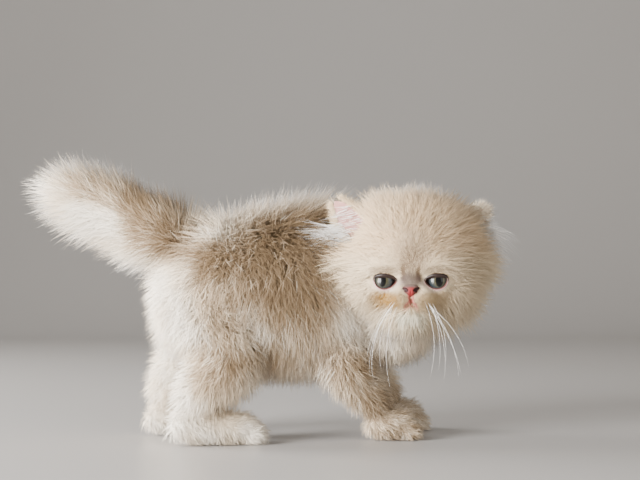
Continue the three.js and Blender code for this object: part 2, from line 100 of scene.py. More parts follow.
class Wire:
    """One output of a material's nodes, which takes part in expressions."""

    def __init__(self, tree, socket=None):
        self.tree = tree
        self.socket = socket

    def node(self, kind, settings=None, values=None, out=0):
        """Adds a node, sets its settings and then its sockets, and gives one of its outputs."""
        node = self.tree.nodes.new(kind)
        for name, value in (settings or {}).items():
            setattr(node, name, value)
        for name, value in (values or {}).items():
            if isinstance(value, Wire):
                self.tree.links.new(value.socket, node.inputs[name])
            else:
                node.inputs[name].default_value = value
        return Wire(self.tree, node.outputs[out])

    def maths(self, operation, first, second=0.0):
        return self.node("ShaderNodeMath", {"operation": operation}, {0: first, 1: second})

    def stored(self, name, out=2):
        """What a mesh stores for its points under a name: a number, or a vector with out=1."""
        return self.node("ShaderNodeAttribute", {"attribute_name": name}, out=out)

    def parts(self):
        """The three numbers of a vector."""
        return [self.node("ShaderNodeSeparateXYZ", values={0: self}, out=k) for k in range(3)]

    def __add__(self, other):
        return self.maths("ADD", self, other)

    def __radd__(self, other):
        return self.maths("ADD", other, self)

    def __sub__(self, other):
        return self.maths("SUBTRACT", self, other)

    def __rsub__(self, other):
        return self.maths("SUBTRACT", other, self)

    def __mul__(self, other):
        return self.maths("MULTIPLY", self, other)

    def __rmul__(self, other):
        return self.maths("MULTIPLY", other, self)

    def __truediv__(self, other):
        return self.maths("DIVIDE", self, other)

    def __rtruediv__(self, other):
        return self.maths("DIVIDE", other, self)

    def __pow__(self, other):
        return self.maths("POWER", self, other)

    def above(self, low, high):
        """0 below low and 1 above high, with a soft step between."""
        values = {"Value": self, "From Min": low, "From Max": high}
        return self.node("ShaderNodeMapRange", {"interpolation_type": "SMOOTHSTEP"}, values)

    def toned(self, first, second):
        """first where this is 0 and second where it is 1."""
        values = {0: self, 6: first, 7: second}
        return self.node("ShaderNodeMix", {"data_type": "RGBA"}, values, out=2)


def finish_of(name, **constants):
    """A material, the wire that starts its expressions, and its shader."""
    material = bpy.data.materials.new(name)
    material.use_nodes = True
    shader = material.node_tree.nodes["Principled BSDF"]
    for socket, value in constants.items():
        shader.inputs[socket.replace("_", " ")].default_value = value
    return material, Wire(material.node_tree), shader


def feed(shader, **wires):
    for socket, wire in wires.items():
        tree = wire.tree
        tree.links.new(wire.socket, shader.inputs[socket.replace("_", " ")])


def tint(red, green, blue):
    """A colour by its screen values out of 255, as the shaders want it."""
    level = [v / 255 for v in (red, green, blue)]
    return (*[v / 12.92 if v < 0.04 else ((v + 0.055) / 1.055) ** 2.4 for v in level], 1)


# The floor is plain and pale, and sweeps up far behind. The light comes mostly from the left:
# one large softbox low in front and one behind, a weak fill on the right, and a pale room.
FLOOR_HALF, FLOOR_FRONT, SWEEP_START, SWEEP_RADIUS, SWEEP_TOP = 6.0, -3.0, 1.6, 1.2, 4.0
SWEEP_STEPS = 24
FLOOR_DARK, FLOOR_PALE = tint(176, 173, 171), tint(184, 181, 179)
sweep = [(FLOOR_FRONT, 0)]
for step in range(SWEEP_STEPS + 1):
    bend = step / SWEEP_STEPS * math.pi / 2
    sweep.append((SWEEP_START + SWEEP_RADIUS * math.sin(bend), SWEEP_RADIUS * (1 - math.cos(bend))))
sweep.append((SWEEP_START + SWEEP_RADIUS, SWEEP_TOP))
corners = [(x, y, z) for y, z in sweep for x in (-FLOOR_HALF, FLOOR_HALF)]
strips = [(k, k + 1, k + 3, k + 2) for k in range(0, 2 * len(sweep) - 2, 2)]
floor_mesh = bpy.data.meshes.new("floor")
floor_mesh.from_pydata(corners, [], strips)
floor_mesh.polygons.foreach_set("use_smooth", [True] * len(strips))
floor = placed("floor", floor_mesh)
floor.rotation_euler = (0, 0, CAMERA_SWING)
floor_finish, wire, shader = finish_of("floor", Roughness=0.4)
mottle = wire.node("ShaderNodeTexNoise", values={"Scale": 3.0, "Detail": 3.0})
feed(shader, Base_Color=mottle.toned(FLOOR_DARK, FLOOR_PALE))
floor_mesh.materials.append(floor_finish)

LIGHTS = {
    # name: place in metres round the kitten, width, power, colour
    "key": ((-1.25, -0.75, 0.36), 0.8, 92, (1.0, 0.985, 0.96)),
    "fill": ((0.9, -1.2, 0.5), 0.9, 5, (1.0, 0.98, 0.95)),
    "back": ((-1.2, 0.55, 0.5), 0.8, 34, (1.0, 0.98, 0.95)),
}
LIGHTS_AIM = Vector((0.03, 0, 0.08))
ROOM_TONE, ROOM_STRENGTH = tint(232, 226, 216), 0.52
for name, (place, width, power, colour) in LIGHTS.items():
    lamp = bpy.data.lights.new(name, "AREA")
    lamp.size = width
    lamp.energy = power
    lamp.color = colour
    light = placed(name, lamp)
    light.location = place
    towards = LIGHTS_AIM - light.location
    light.rotation_euler = towards.to_track_quat("-Z", "Y").to_euler()
room = bpy.data.worlds.new("room")
room.use_nodes = True
background = room.node_tree.nodes["Background"].inputs
background["Color"].default_value = ROOM_TONE
background["Strength"].default_value = ROOM_STRENGTH
bpy.context.scene.world = room


# The body under the coat: rounded forms along bent lines, from rump to chest, up the neck,
# out along the tail and down each leg, as a taxidermist's form is built. A station is x, y,
# z of its middle, half its width, half its height, and the depth of coat that stands on it.
TORSO = [
    (-66, 0, 97, 21, 26, 15),
    (-46, 0, 94, 31, 37, 22),
    (-12, 0, 93, 33, 42, 24),
    (26, 0, 96, 33, 45, 26),
    (54, 0, 94, 29, 41, 24),
    (75, 0, 86, 20, 28, 15),
]
NECK = [
    (58, -2, 89, 24, 28, 22),
    (76, -18, 87, 21, 26, 17),
    (88, -38, 99, 20, 22, 12),
]
TAIL = [
    (-56, 0, 122, 11, 12, 25),
    (-82, 3, 136, 9, 9, 19),
    (-106, 6, 149, 7.5, 7.5, 21),
    (-134, 7, 159, 5, 5, 18),
]
HIND_LEG = {
    "right": [
        (-44, -15, 92, 18, 22, 14),
        (-30, -28, 60, 15, 21, 12),
        (-46, -30, 34, 10, 12, 11),
        (-57, -29, 19, 8, 8.5, 9),
    ],
    "left": [
        (-48, 15, 92, 18, 22, 14),
        (-42, 28, 60, 15, 20, 12),
        (-59, 29, 36, 10, 12, 9),
        (-67, 28, 20, 8, 8.5, 7),
    ],
}
FORELEG = {
    "right": [
        (54, -14, 86, 14, 20, 14),
        (43, -27, 54, 11, 14, 11),
        (56, -28, 32, 9, 10, 8),
        (68, -27, 18, 8, 8.5, 6),
    ],
    "left": [
        (62, 14, 86, 14, 20, 14),
        (66, 26, 54, 11, 14, 11),
        (79, 27, 34, 9, 10, 8),
        (90, 26, 19, 8, 8.5, 6),
    ],
}
UP = np.array([0.0, 0.0, 1.0])
FORWARDS = np.array([1.0, 0.0, 0.0])
BLUNTNESS = 6


def unit(vectors):
    return vectors / np.maximum(np.linalg.norm(vectors, axis=-1, keepdims=True), 1e-9)


def dot(a, b):
    return (a * b).sum(-1, keepdims=True)


def fullness(t):
    """How wide a form is at t, as a share: 1 along its middle and 0 at its blunt ends."""
    return np.sqrt(np.maximum(0, 1 - np.abs(2 * t - 1) ** BLUNTNESS))


def closed(form, around, along):
    """A closed mesh of a form over t, from end to end, and angle: its points and faces."""
    t = (1 - np.cos(np.linspace(0, math.pi, along + 1)[1:-1])) / 2
    angle = np.linspace(0, 2 * math.pi, around, endpoint=False)
    grid_t, grid_angle = np.meshgrid(t, angle, indexing="ij")
    points = form(grid_t.ravel(), grid_angle.ravel())
    points = np.vstack([points, points[:around].mean(0), points[-around:].mean(0)])
    first, last, low = len(points) - 2, len(points) - 1, (along - 2) * around
    faces = []
    for k in range(around):
        b = (k + 1) % around
        faces.append((first, b, k))
        faces.append((last, low + k, low + b))
        for row in range(0, low, around):
            faces.append((row + k, row + b, row + b + around, row + k + around))
    return points, faces


class Limb:
    """A round tapering form along a bent line, with rounded ends. t runs from 0 to 1 along
    it, and angle turns from its side (0) to its upper side (a quarter turn)."""

    STEPS = 64

    def __init__(self, stations, upwards):
        rows = np.array(stations, float)
        ends = np.vstack([2 * rows[0] - rows[1], rows, 2 * rows[-1] - rows[-2]])
        self.t = np.linspace(0, 1, self.STEPS + 1)
        spot = self.t * (len(rows) - 1)
        k = np.minimum(spot.astype(int), len(rows) - 2)
        s = (spot - k)[:, None]
        a, b, c, d = ends[k], ends[k + 1], ends[k + 2], ends[k + 3]
        bend = 2 * b + (c - a) * s + (2 * a - 5 * b + 4 * c - d) * s**2
        self.rows = (bend + (3 * b - a - 3 * c + d) * s**3) / 2
        self.tangents = unit(np.gradient(self.rows[:, :3], axis=0))
        self.ups = unit(upwards - dot(self.tangents, upwards) * self.tangents)
        self.sides = np.cross(self.ups, self.tangents)

    def at(self, table, t):
        return np.stack([np.interp(t, self.t, column) for column in table.T], -1)

    def place(self, t, angle, share=0.0):
        """The surface at t and angle, with a share of the coat's depth on it."""
        end = (2 * t - 1)[..., None]
        waist = fullness(t)[..., None]
        row = self.at(self.rows, t)
        side, up, tangent = (self.at(v, t) for v in (self.sides, self.ups, self.tangents))
        turn, rise = np.cos(angle)[..., None] * waist, np.sin(angle)[..., None] * waist
        ahead = np.sign(end) * np.abs(end) ** (BLUNTNESS - 1)
        outward = unit(turn * side + rise * up + ahead * tangent)
        flesh = row[..., :3] + turn * row[..., 3:4] * side + rise * row[..., 4:5] * up
        return flesh + share * row[..., 5:6] * outward

    def near(self, points):
        """For each point the nearest t, the angle there, and how far out of the flesh it is."""
        best = np.full(len(points), np.inf)
        spot = np.zeros(len(points), int)
        for k in range(0, self.STEPS + 1, 2):
            reach = np.linalg.norm(points - self.rows[k, :3], axis=1)
            nearer = reach < best
            best[nearer] = reach[nearer]
            spot[nearer] = k
        away = points - self.rows[spot, :3]
        angle = np.arctan2(dot(away, self.ups[spot])[:, 0], dot(away, self.sides[spot])[:, 0])
        wide, high = self.rows[spot, 3], self.rows[spot, 4]
        round_there = wide * high / np.hypot(high * np.cos(angle), wide * np.sin(angle))
        return self.t[spot], angle, best - round_there

    def shell(self, around=28, along=32):
        return closed(self.place, around, along)


torso = Limb(TORSO, UP)
neck = Limb(NECK, UP)
tail = Limb(TAIL, UP)
hind_leg = {side: Limb(HIND_LEG[side], FORWARDS) for side in SIDES}
foreleg = {side: Limb(FORELEG[side], FORWARDS) for side in SIDES}
forms = [torso.shell(40, 40), neck.shell(), tail.shell()]
for side in SIDES:
    forms += [hind_leg[side].shell(), foreleg[side].shell()]


# The four paws, each a low form from heel to toes with four toes at its front, standing
# flat on the floor.
PAW = [
    # share of the way from heel to pad, how far ahead of there, and the rest of a station
    (0.0, -7, 12.1, 7, 7, 5.5),
    (0.5, 0, 10.6, 9.5, 9.2, 5.5),
    (1.0, 10, 9.6, 10.3, 8.5, 4.2),
]
PAWS = {
    # name: x and y of its heel, x and y of its pad, and its own turn to the left in degrees
    "hind_paw_right": ((-60, -29), (-22, -28), 0),
    "hind_paw_left": ((-70, 28), (-37, 29), 4),
    "forepaw_right": ((66, -27), (78, -26), -3),
    "forepaw_left": ((89, 26), (99, 26), 5),
}
TOE = np.array([6.4, 4.0, 5.4])
TOE_HEIGHT, TOE_SPREAD, TOE_FAN = 5.6, 4.7, 0.1
TOES_AHEAD, TOES_CURVE = 8.5, 1.5



def ball(t, angle):
    """A ball of radius 1 over t and angle."""
    rise = 2 * t - 1
    reach = np.sqrt(np.maximum(0, 1 - rise**2))
    return np.stack([reach * np.cos(angle), reach * np.sin(angle), rise], -1)


def toe_form(middle, yaw):
    points, faces = closed(ball, 16, 12)
    return (points * TOE) @ np.array(Matrix.Rotation(yaw, 3, "Z")).T + middle, faces


paw_limbs = {}
for name, (heel, pad, turned) in PAWS.items():
    heel, pad = np.array(heel, float), np.array(pad, float)
    yaw = math.atan2(*(pad - heel)[::-1]) + math.radians(turned)
    stations = [
        (*(heel + share * (pad - heel) + (ahead, 0)), *rest) for share, ahead, *rest in PAW
    ]
    paw_limbs[name] = Limb(stations, UP)
    forms.append(paw_limbs[name].shell())
    for k in (-1.5, -0.5, 0.5, 1.5):
        ahead = TOES_AHEAD - TOES_CURVE * abs(k)
        x = pad[0] + math.cos(yaw) * ahead - math.sin(yaw) * k * TOE_SPREAD
        y = pad[1] + math.sin(yaw) * ahead + math.cos(yaw) * k * TOE_SPREAD
        forms.append(toe_form((x, y, TOE_HEIGHT), yaw + TOE_FAN * k))


# The head: round masses that flow together into a broad skull, full cheeks, a brow over
# each eye, two short muzzle pads and a small chin. A mass is x, y, z of its middle and its
# half sizes, and one with an x stands on both sides.
HEAD_MASSES = [
    (0, 1, 3, 36, 32, 30),
    (0, -8, 13, 28, 24, 21),
    (0, -10, -22, 19, 18, 11),
    (0, -27, -13, 6.5, 7, 6),
    (0, -24, -28, 8, 9, 6.5),
    (18, -11, -12, 16.5, 17, 14),
    (6, -27.5, -21, 8, 8.5, 6.5),
    (15, -22, -2.5, 11, 8.5, 6),
]
HEAD_BLEND = 7.0
HEAD_CORE = np.array([0.0, -12.0, -8.0])
HEAD_REACH = 5, 90
FACE_AXIS = unit(np.array([0.0, -0.97, -0.24]))
LID_RADIUS = EYE_RADIUS + 1.1
LID_BLEND = 1.6


def head_field(points):
    """Negative inside the head, and about a distance in millimetres near its surface."""
    field = np.full(len(points), 1e3)
    lids = (*EYE_AT, LID_RADIUS, LID_RADIUS, LID_RADIUS)
    for x, y, z, *half in [*HEAD_MASSES, lids]:
        blend = LID_BLEND if half[0] == LID_RADIUS else HEAD_BLEND
        q = points - (0, y, z)
        if x:
            q[:, 0] = np.abs(q[:, 0]) - x
        q = q / half
        near = np.linalg.norm(q, axis=1)
        steep = np.maximum(np.linalg.norm(q / half, axis=1), 1e-6)
        mass = near * (near - 1) / steep
        mix = np.maximum(blend - np.abs(field - mass), 0) / blend
        field = np.minimum(field, mass) - mix**2 * blend / 4
    return field


def on_head(start, way, low, high):
    """Where lines from start along way leave the head."""
    low = np.full(len(way), float(low))
    high = np.full(len(way), float(high))
    for _ in range(20):
        middle = (low + high) / 2
        inside = head_field(start + middle[:, None] * way) < 0
        low = np.where(inside, middle, low)
        high = np.where(inside, high, middle)
    return start + low[:, None] * way


ways, faces = closed(ball, 96, 72)
forms.append((from_head(on_head(HEAD_CORE, unit(ways), *HEAD_REACH)), faces))


# The ears: small, rounded and set low and wide, each a thin leaf of skin cupped open to
# the front and outwards. A station is as the body's, in the head's frame.
EAR = [
    (27, 0, 14, 13, 6, 4),
    (35, -3, 23, 12.5, 5, 4),
    (42, -6, 32, 8.5, 3.6, 3),
    (47, -8, 39.5, 3.2, 2.2, 2),
]
EAR_OPENING = {"right": (-0.35, -0.9, 0.15), "left": (0.6, -0.78, 0.2)}
EAR_DROP = {"right": 0, "left": 4}
EAR_WALL, EAR_PADDING = 0.45, 0.1
ears = {}
for side, sign in SIDES.items():
    drop = np.linspace(0, EAR_DROP[side], len(EAR))
    stations = [(sign * x, y, z - low, *rest) for (x, y, z, *rest), low in zip(EAR, drop)]
    ears[side] = Limb(stations, unit(np.array(EAR_OPENING[side])))

    def leaf(t, angle, limb=ears[side]):
        row, up = limb.at(limb.rows, t), limb.at(limb.ups, t)
        cupped = (2 - EAR_WALL) * row[:, 4] * fullness(t) * np.maximum(np.sin(angle), 0)
        return limb.place(t, angle, EAR_PADDING) - up * cupped[:, None]

    points, faces = closed(leaf, 36, 28)
    forms.append((from_head(points), faces))


# The skin: one sheet over all of these forms, drawn tight and smoothed where they meet, as
# a mounted hide is. The face is then worked finer, for the eyes' openings and the mouth.
SKIN_GRAIN = 1.3
SKIN_SMOOTHING, SKIN_EASE, CRISPER = 14, 0.5, 0.8
EARS_WITHIN = 75
SOLE_HEIGHT = 0.5
FACE_CUTS = 2
FINE_HALF, FINE_START, FINE_LOW, FINE_TOP = 27, -20, -34, 2
PROBE, FACE_STEP, SLOPE_LEAST = 0.05, 1.5, 0.2
SOCKET_GAP = 1.2


def mesh_from(name, points, faces):
    """A smooth mesh from points in millimetres in the kitten's frame."""
    mesh = bpy.data.meshes.new(name)
    mesh.from_pydata(((points + ORIGIN) * MM).tolist(), [], faces)
    mesh.polygons.foreach_set("use_smooth", np.ones(len(faces), bool))
    mesh.update()
    return mesh


def rows_of(items, key, width, kind=float):
    """What a mesh's points, edges or faces hold under a key, a row for each of them."""
    values = np.empty(len(items) * width, kind)
    items.foreach_get(key, values)
    return values.reshape(-1, width)


def points_of(mesh):
    return rows_of(mesh.vertices, "co", 3) / MM - ORIGIN


def set_points(mesh, points):
    mesh.vertices.foreach_set("co", ((points + ORIGIN) * MM).ravel())
    mesh.update()


counts = np.cumsum([0] + [len(points) for points, _ in forms])
joined = np.vstack([points for points, _ in forms])
joined_faces = [
    tuple(int(corner + start) for corner in face)
    for start, (_, faces) in zip(counts, forms)
    for face in faces
]
rough = placed("rough_form", mesh_from("rough_form", joined, joined_faces))
voxels = rough.modifiers.new("drawn tight", "REMESH")
voxels.mode = "VOXEL"
voxels.voxel_size = SKIN_GRAIN * MM
hide = bpy.data.meshes.new_from_object(rough.evaluated_get(bpy.context.evaluated_depsgraph_get()))
bpy.data.objects.remove(rough)


def in_step(value, low, high):
    """0 below low and 1 above high, with a soft step between."""
    t = np.clip((value - low) / (high - low), 0, 1)
    return t * t * (3 - 2 * t)


def relaxed(points, mesh, weight, rounds):
    """Points drawn towards the middle of their neighbours, by each one's weight."""
    a, b = rows_of(mesh.edges, "vertices", 2, int).T
    count = len(points)
    ties = np.bincount(a, minlength=count) + np.bincount(b, minlength=count)
    for _ in range(rounds):
        around = [
            np.bincount(a, column[b], count) + np.bincount(b, column[a], count)
            for column in points.T
        ]
        points = points + weight[:, None] * (np.stack(around, -1) / ties[:, None] - points)
    return points


# The eyes' openings in the skin: flat above and round below, and drawn out to a corner
# towards the nose. The skin inside each is sunk behind the eyeball.
OPENING_RISE = 1.2
BEHIND_EYES = -12
OPENING_OUTER, OPENING_INNER = 5.9, 6.7
OPENING_ABOVE, OPENING_BELOW = 2.5, 5.5
OPENING_SQUARE_ABOVE = 2.6
CORNER_PINCH, CORNER_DROP = 0.3, 0.7


def opening_line(out):
    """The height of the line between an opening's corners, and how far that is pinched."""
    inner = np.clip(-out / OPENING_INNER, 0, 1) ** 2
    return EYE_AT[2] + OPENING_RISE - CORNER_DROP * inner, 1 - CORNER_PINCH * inner


def opening_reach(points):
    """How far a point of the head's frame is out from the nearer eye: 1 on its opening."""
    out = np.abs(points[:, 0]) - EYE_AT[0]
    middle, pinch = opening_line(out)
    up = (points[:, 2] - middle) / pinch
    wide = np.where(out > 0, OPENING_OUTER, OPENING_INNER)
    high = np.where(up > 0, OPENING_ABOVE, OPENING_BELOW)
    square = np.where(up > 0, OPENING_SQUARE_ABOVE, 2)
    reach = (np.abs(out / wide) ** square + np.abs(up / high) ** square) ** (1 / square)
    return reach + np.maximum(points[:, 1] - BEHIND_EYES, 0)


# The mouth: a short groove in the skin under the nose, which parts into two lips. It is
# pressed in along these lines, given by x and z of the head's frame.
PHILTRUM = [(0, -19.0), (0, -24.2)]
LIP = [(0, -24.2), (2.6, -27.0), (5.6, -29.0), (10.5, -29.6)]
GROOVE_WIDTH, GROOVE_DEPTH = 0.75, 1.2
BEHIND_MOUTH, FAR_OFF = -18, 50


def mouth_distance(points):
    """How far a point of the head's frame is from the line of the mouth, seen from before."""
    spots = np.stack([np.abs(points[:, 0]), points[:, 2]], -1)
    best = np.full(len(points), 1e3)
    for line in (PHILTRUM, LIP):
        for start, end in zip(np.array(line), np.array(line[1:])):
            along = np.clip((spots - start) @ (end - start) / ((end - start) @ (end - start)), 0, 1)
            best = np.minimum(best, np.linalg.norm(spots - start - along[:, None] * (end - start), axis=1))
    return best + FAR_OFF * (points[:, 1] > BEHIND_MOUTH)


def front_of_face(points):
    """1 on the front of the face and 0 behind it, for points of the head's frame."""
    inward = unit(points - HEAD_CORE)
    return in_step(dot(inward, FACE_AXIS)[:, 0], 0.45, 0.75) * in_step(-np.abs(points[:, 0]), -33, -28)


skin_points = points_of(hide)
at_head = to_head(skin_points)
face = front_of_face(at_head)
ear_side = in_step(np.abs(at_head[:, 0]), 24, 30) * in_step(at_head[:, 2], 8, 14)
toes = in_step(-skin_points[:, 2], -13, -8)
crisp = np.maximum(ear_side * (np.linalg.norm(at_head, axis=1) < EARS_WITHIN), toes)
weight = SKIN_EASE * (1 - CRISPER * crisp) * (1 - face)
skin_points = relaxed(skin_points, hide, weight, SKIN_SMOOTHING)
set_points(hide, skin_points)

sheet = bmesh.new()
sheet.from_mesh(hide)
at_head = to_head(points_of(hide))
x, y, z = at_head.T
fine = (np.abs(x) < FINE_HALF) & (y < FINE_START) & (z > FINE_LOW) & (z < FINE_TOP)
sheet.verts.ensure_lookup_table()
cut = [edge for edge in sheet.edges if all(fine[vertex.index] for vertex in edge.verts)]
bmesh.ops.subdivide_edges(sheet, edges=cut, cuts=FACE_CUTS, use_grid_fill=True)
sheet.to_mesh(hide)
sheet.free()

skin_points = points_of(hide)
at_head = to_head(skin_points)
face = front_of_face(at_head)
for _ in range(3):
    depth = head_field(at_head)
    slope = np.stack([head_field(at_head + PROBE * axis) - depth for axis in np.eye(3)], -1) / PROBE
    step = face * np.clip(depth, -FACE_STEP, FACE_STEP)
    at_head -= step[:, None] * slope / np.maximum(dot(slope, slope), SLOPE_LEAST)
open_here = (opening_reach(at_head) < 1) & (at_head[:, 1] < BEHIND_EYES)
out, up = np.abs(at_head[:, 0]) - EYE_AT[0], at_head[:, 2] - EYE_AT[2]
sunk = EYE_AT[1] - np.sqrt(np.maximum(0, (EYE_RADIUS - SOCKET_GAP) ** 2 - out**2 - up**2))
at_head[open_here, 1] = sunk[open_here]
at_head[:, 1] += GROOVE_DEPTH * np.exp(-((mouth_distance(at_head) / GROOVE_WIDTH) ** 2))
skin_points = from_head(at_head)
skin_points[:, 2] = np.maximum(skin_points[:, 2], SOLE_HEIGHT)
set_points(hide, skin_points)
hide.polygons.foreach_set("use_smooth", np.ones(len(hide.polygons), bool))
skin = placed("skin", hide)
skin_nodes = [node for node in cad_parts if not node.startswith(("eye", "nose"))]
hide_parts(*skin_nodes)
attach(skin, "root")


# How the coat lies: backwards on the rump, down and a little forwards on the flank and neck,
# out along the tail, down the legs, and away from the nose and the eyes over the face.
LIES = [
    # form, how far its hair runs along it, from end to end, and down, in millimetres
    (torso, (-16, -9, 0, 5, 6), 17),
    (neck, (0, 2, 4), 19),
    (tail, (20, 20), 1),
    (hind_leg["right"], (14, 17), 5),
    (hind_leg["left"], (14, 17), 5),
    (foreleg["right"], (14, 16), 4),
    (foreleg["left"], (14, 16), 4),
    *[(paw, (10, 10), 6) for paw in paw_limbs.values()],
]
BACK_LIE = (0.0, 0.2, 0.36, 1.0), (-14, -7, 5, 9)
TORSO_PART, NECK_PART, TAIL_PART, LEG_PARTS, PAW_PARTS = 0, 1, 2, (3, 4, 5, 6), (7, 8, 9, 10)
HEAD_PART = len(LIES)
FACE_COAT, CROWN_COAT, CHEEK_COAT, EAR_COAT = 2.2, (14.5, 20.0), 22.0, 3.5
# How full each cheek is goes by the height of a direction from the head's core.
CHEEK_HEIGHTS = (-0.8, -0.5, -0.15, 0.25)
CHEEK_FULLNESS = {"right": (0.7, 0.55, 0.6, 1.05), "left": (0.8, 0.95, 0.68, 0.95)}
FACE_EDGE = math.radians(34), math.radians(92)
EYE_SHY, EYE_COAT = (1.0, 2.3), 0.35
EYE_RING_PULL, EYE_RING_WIDTH = 2.5, 0.45
CHEEK_DROOP = 0.45
LIE_BLEND = 3.0
EAR_NEAR, EAR_ROOT, EAR_ROOT_GAP = 1.5, 0.12, 40
EAR_PARTING = {"right": 26, "left": 0}
CHIN_COAT = 10.0
BELLY_SHARE = 0.7


def head_coat(way):
    """How deep the coat is on the head, in a direction from its core."""
    from_face = np.arccos(np.clip(way @ FACE_AXIS, -1, 1))
    aside = in_step(np.abs(way[:, 0]), 0.35, 0.9) * in_step(-way[:, 2], -0.6, -0.1)
    crown = np.interp(np.abs(way[:, 0]), (0.15, 0.6), CROWN_COAT)
    full = [np.interp(way[:, 2], CHEEK_HEIGHTS, CHEEK_FULLNESS[side]) for side in SIDES]
    cheek = CHEEK_COAT * np.where(way[:, 0] < 0, *full)
    deep = crown + aside * (cheek - crown)
    chin = CHIN_COAT * in_step(-way[:, 2], 0.55, 0.85)
    return FACE_COAT + chin + in_step(from_face, *FACE_EDGE) * (deep - FACE_COAT - chin)


def head_flow(at_head):
    """The lie of the coat on the head: away from the nose, and round the eyes."""
    way = unit(at_head - HEAD_CORE)
    flow = unit(dot(way, FACE_AXIS) * way - FACE_AXIS)
    flow[:, 2] -= CHEEK_DROOP * np.abs(way[:, 0])
    eye = EYE_AT * np.stack([np.sign(at_head[:, 0]), *np.ones((2, len(way)))], -1)
    away = EYE_RING_PULL * np.exp(-((opening_reach(at_head) - 1) / EYE_RING_WIDTH).clip(0, 9))
    return flow + away[:, None] * unit(at_head - eye)


def ear_spot(limb, at_head):
    """Where points are by an ear: along it, before its leaf, aside of it, and its half width."""
    t, angle, gap = limb.near(at_head)
    row = limb.at(limb.rows, t)
    away = at_head - row[:, :3]
    before = dot(away, limb.at(limb.ups, t))[:, 0]
    aside = np.abs(dot(away, limb.at(limb.sides, t))[:, 0])
    return t, before, aside, row[:, 3], gap


def lie_of(points):
    """For points of the skin: the form each belongs to, the coat's depth and its lie."""
    at_head = to_head(points)
    gaps, depths, flows = [], [], []
    for limb, along, down in LIES:
        t, angle, gap = limb.near(points)
        gaps.append(gap)
        below = in_step(-np.sin(angle), 0.5, 1) if limb is torso else 0
        depths.append(limb.at(limb.rows, t)[:, 5] * (1 - (1 - BELLY_SHARE) * below))
        forwards = np.interp(t, np.linspace(0, 1, len(along)), along)[:, None]
        if limb is torso:
            topmost = in_step(np.sin(angle), 0.4, 1)[:, None]
            forwards = forwards + topmost * (np.interp(t, *BACK_LIE)[:, None] - forwards)
        flows.append(unit(limb.at(limb.tangents, t) * forwards - UP * down))
    gaps.append(head_field(at_head))
    shy = EYE_COAT + (1 - EYE_COAT) * in_step(opening_reach(at_head), *EYE_SHY)
    depths.append(head_coat(unit(at_head - HEAD_CORE)) * shy)
    flows.append(head_flow(at_head) @ HEAD_AXES.T)
    for limb in ears.values():
        t, angle, gap = limb.near(at_head)
        gaps.append(gap + EAR_NEAR + EAR_ROOT_GAP * (t < EAR_ROOT))
        depths.append(np.full(len(points), EAR_COAT))
        flows.append(limb.at(limb.tangents, t) @ HEAD_AXES.T)
    gaps = np.array(gaps)
    share = np.exp(-(gaps - gaps.min(0)) / LIE_BLEND)
    share /= share.sum(0)
    depth = (share * np.array(depths)).sum(0)
    flow = (share[..., None] * np.array(flows)).sum(0)
    return gaps.argmin(0), depth, flow


skin_part, skin_depth, skin_flow = lie_of(skin_points)
normals = rows_of(hide.vertex_normals, "vector", 3)


def mark(mesh, name, values):
    """Stores a value for each point of a mesh: a number, or three of them."""
    kind, key = ("FLOAT", "value") if values.ndim == 1 else ("FLOAT_VECTOR", "vector")
    mesh.attributes.new(name, kind, "POINT").data.foreach_set(key, values.astype(np.float32).ravel())


def mark_coat(mesh, spots, part, along, draw):
    """What the coat's colour goes by: where a hair shows, in the body's frame and in the
    head's, whether it grows on the head or an ear, how far along the hair a point is, the
    hair's own draw, and how far from the mouth and the lids it shows."""
    at_head = to_head(spots)
    mark(mesh, "spot", spots)
    mark(mesh, "face", at_head)
    mark(mesh, "head", (part >= HEAD_PART).astype(float))
    mark(mesh, "of_ear", (part > HEAD_PART).astype(float))
    mark(mesh, "along", along)
    mark(mesh, "draw", draw)
    mark(mesh, "mouth", mouth_distance(at_head))
    mark(mesh, "lid", opening_reach(at_head))


# Inside the ears the skin is thin, bare and pink. It is the same sheet as the rest, and only
# its colour and the coat change there.
# The skin is coloured as the coat is seven tenths of its depth out, as a hair a fifth of the way from its
# root with a middling draw, so it takes the coat's painted root shade too.
SKIN_SHOWN, SKIN_ALONG, SKIN_DRAW = 0.7, 0.2, 0.5
INSIDE_EDGE, INSIDE_GAP = 0.98, 4
at_head = to_head(skin_points)
inside_ear = np.zeros(len(skin_points))
for limb in ears.values():
    t, before, aside, half, gap = ear_spot(limb, at_head)
    facing = dot(normals @ HEAD_AXES, limb.at(limb.ups, t))[:, 0]
    inside = in_step(facing, -0.1, 0.4) * in_step(half * INSIDE_EDGE - aside, 0, 2)
    inside_ear = np.maximum(inside_ear, inside * in_step(t, 0.1, 0.25) * (gap < INSIDE_GAP))
count = len(skin_points)
shown = skin_points + normals * skin_depth[:, None] * SKIN_SHOWN
mark_coat(hide, shown, skin_part, np.full(count, SKIN_ALONG), np.full(count, SKIN_DRAW))
mark(hide, "ear", inside_ear)


# The coat's colour: cream, nearly white on rump and chest, with a mottled buff-brown saddle
# that arches over the flank, paler buff on tail, legs and crown, an ivory chin, amber under
# the eyes and grey-brown lines between them.
WHITE = tint(252, 248, 242)
PALE = tint(250, 240, 226)
CREAM = tint(242, 222, 196)
BUFF = tint(192, 169, 142)
BROWN = tint(138, 115, 88)
CREAM_PALE = tint(236, 216, 184)
PEACH = tint(225, 193, 154)
IVORY = tint(230, 221, 199)
AMBER = tint(154, 112, 42)
BEIGE = tint(180, 155, 120)
SMOKE = tint(124, 102, 80)
LILAC = tint(216, 196, 192)
DOVE = tint(104, 88, 82)
ROSE = tint(176, 88, 88)
PINK = tint(222, 168, 163)
UMBER = tint(84, 66, 58)


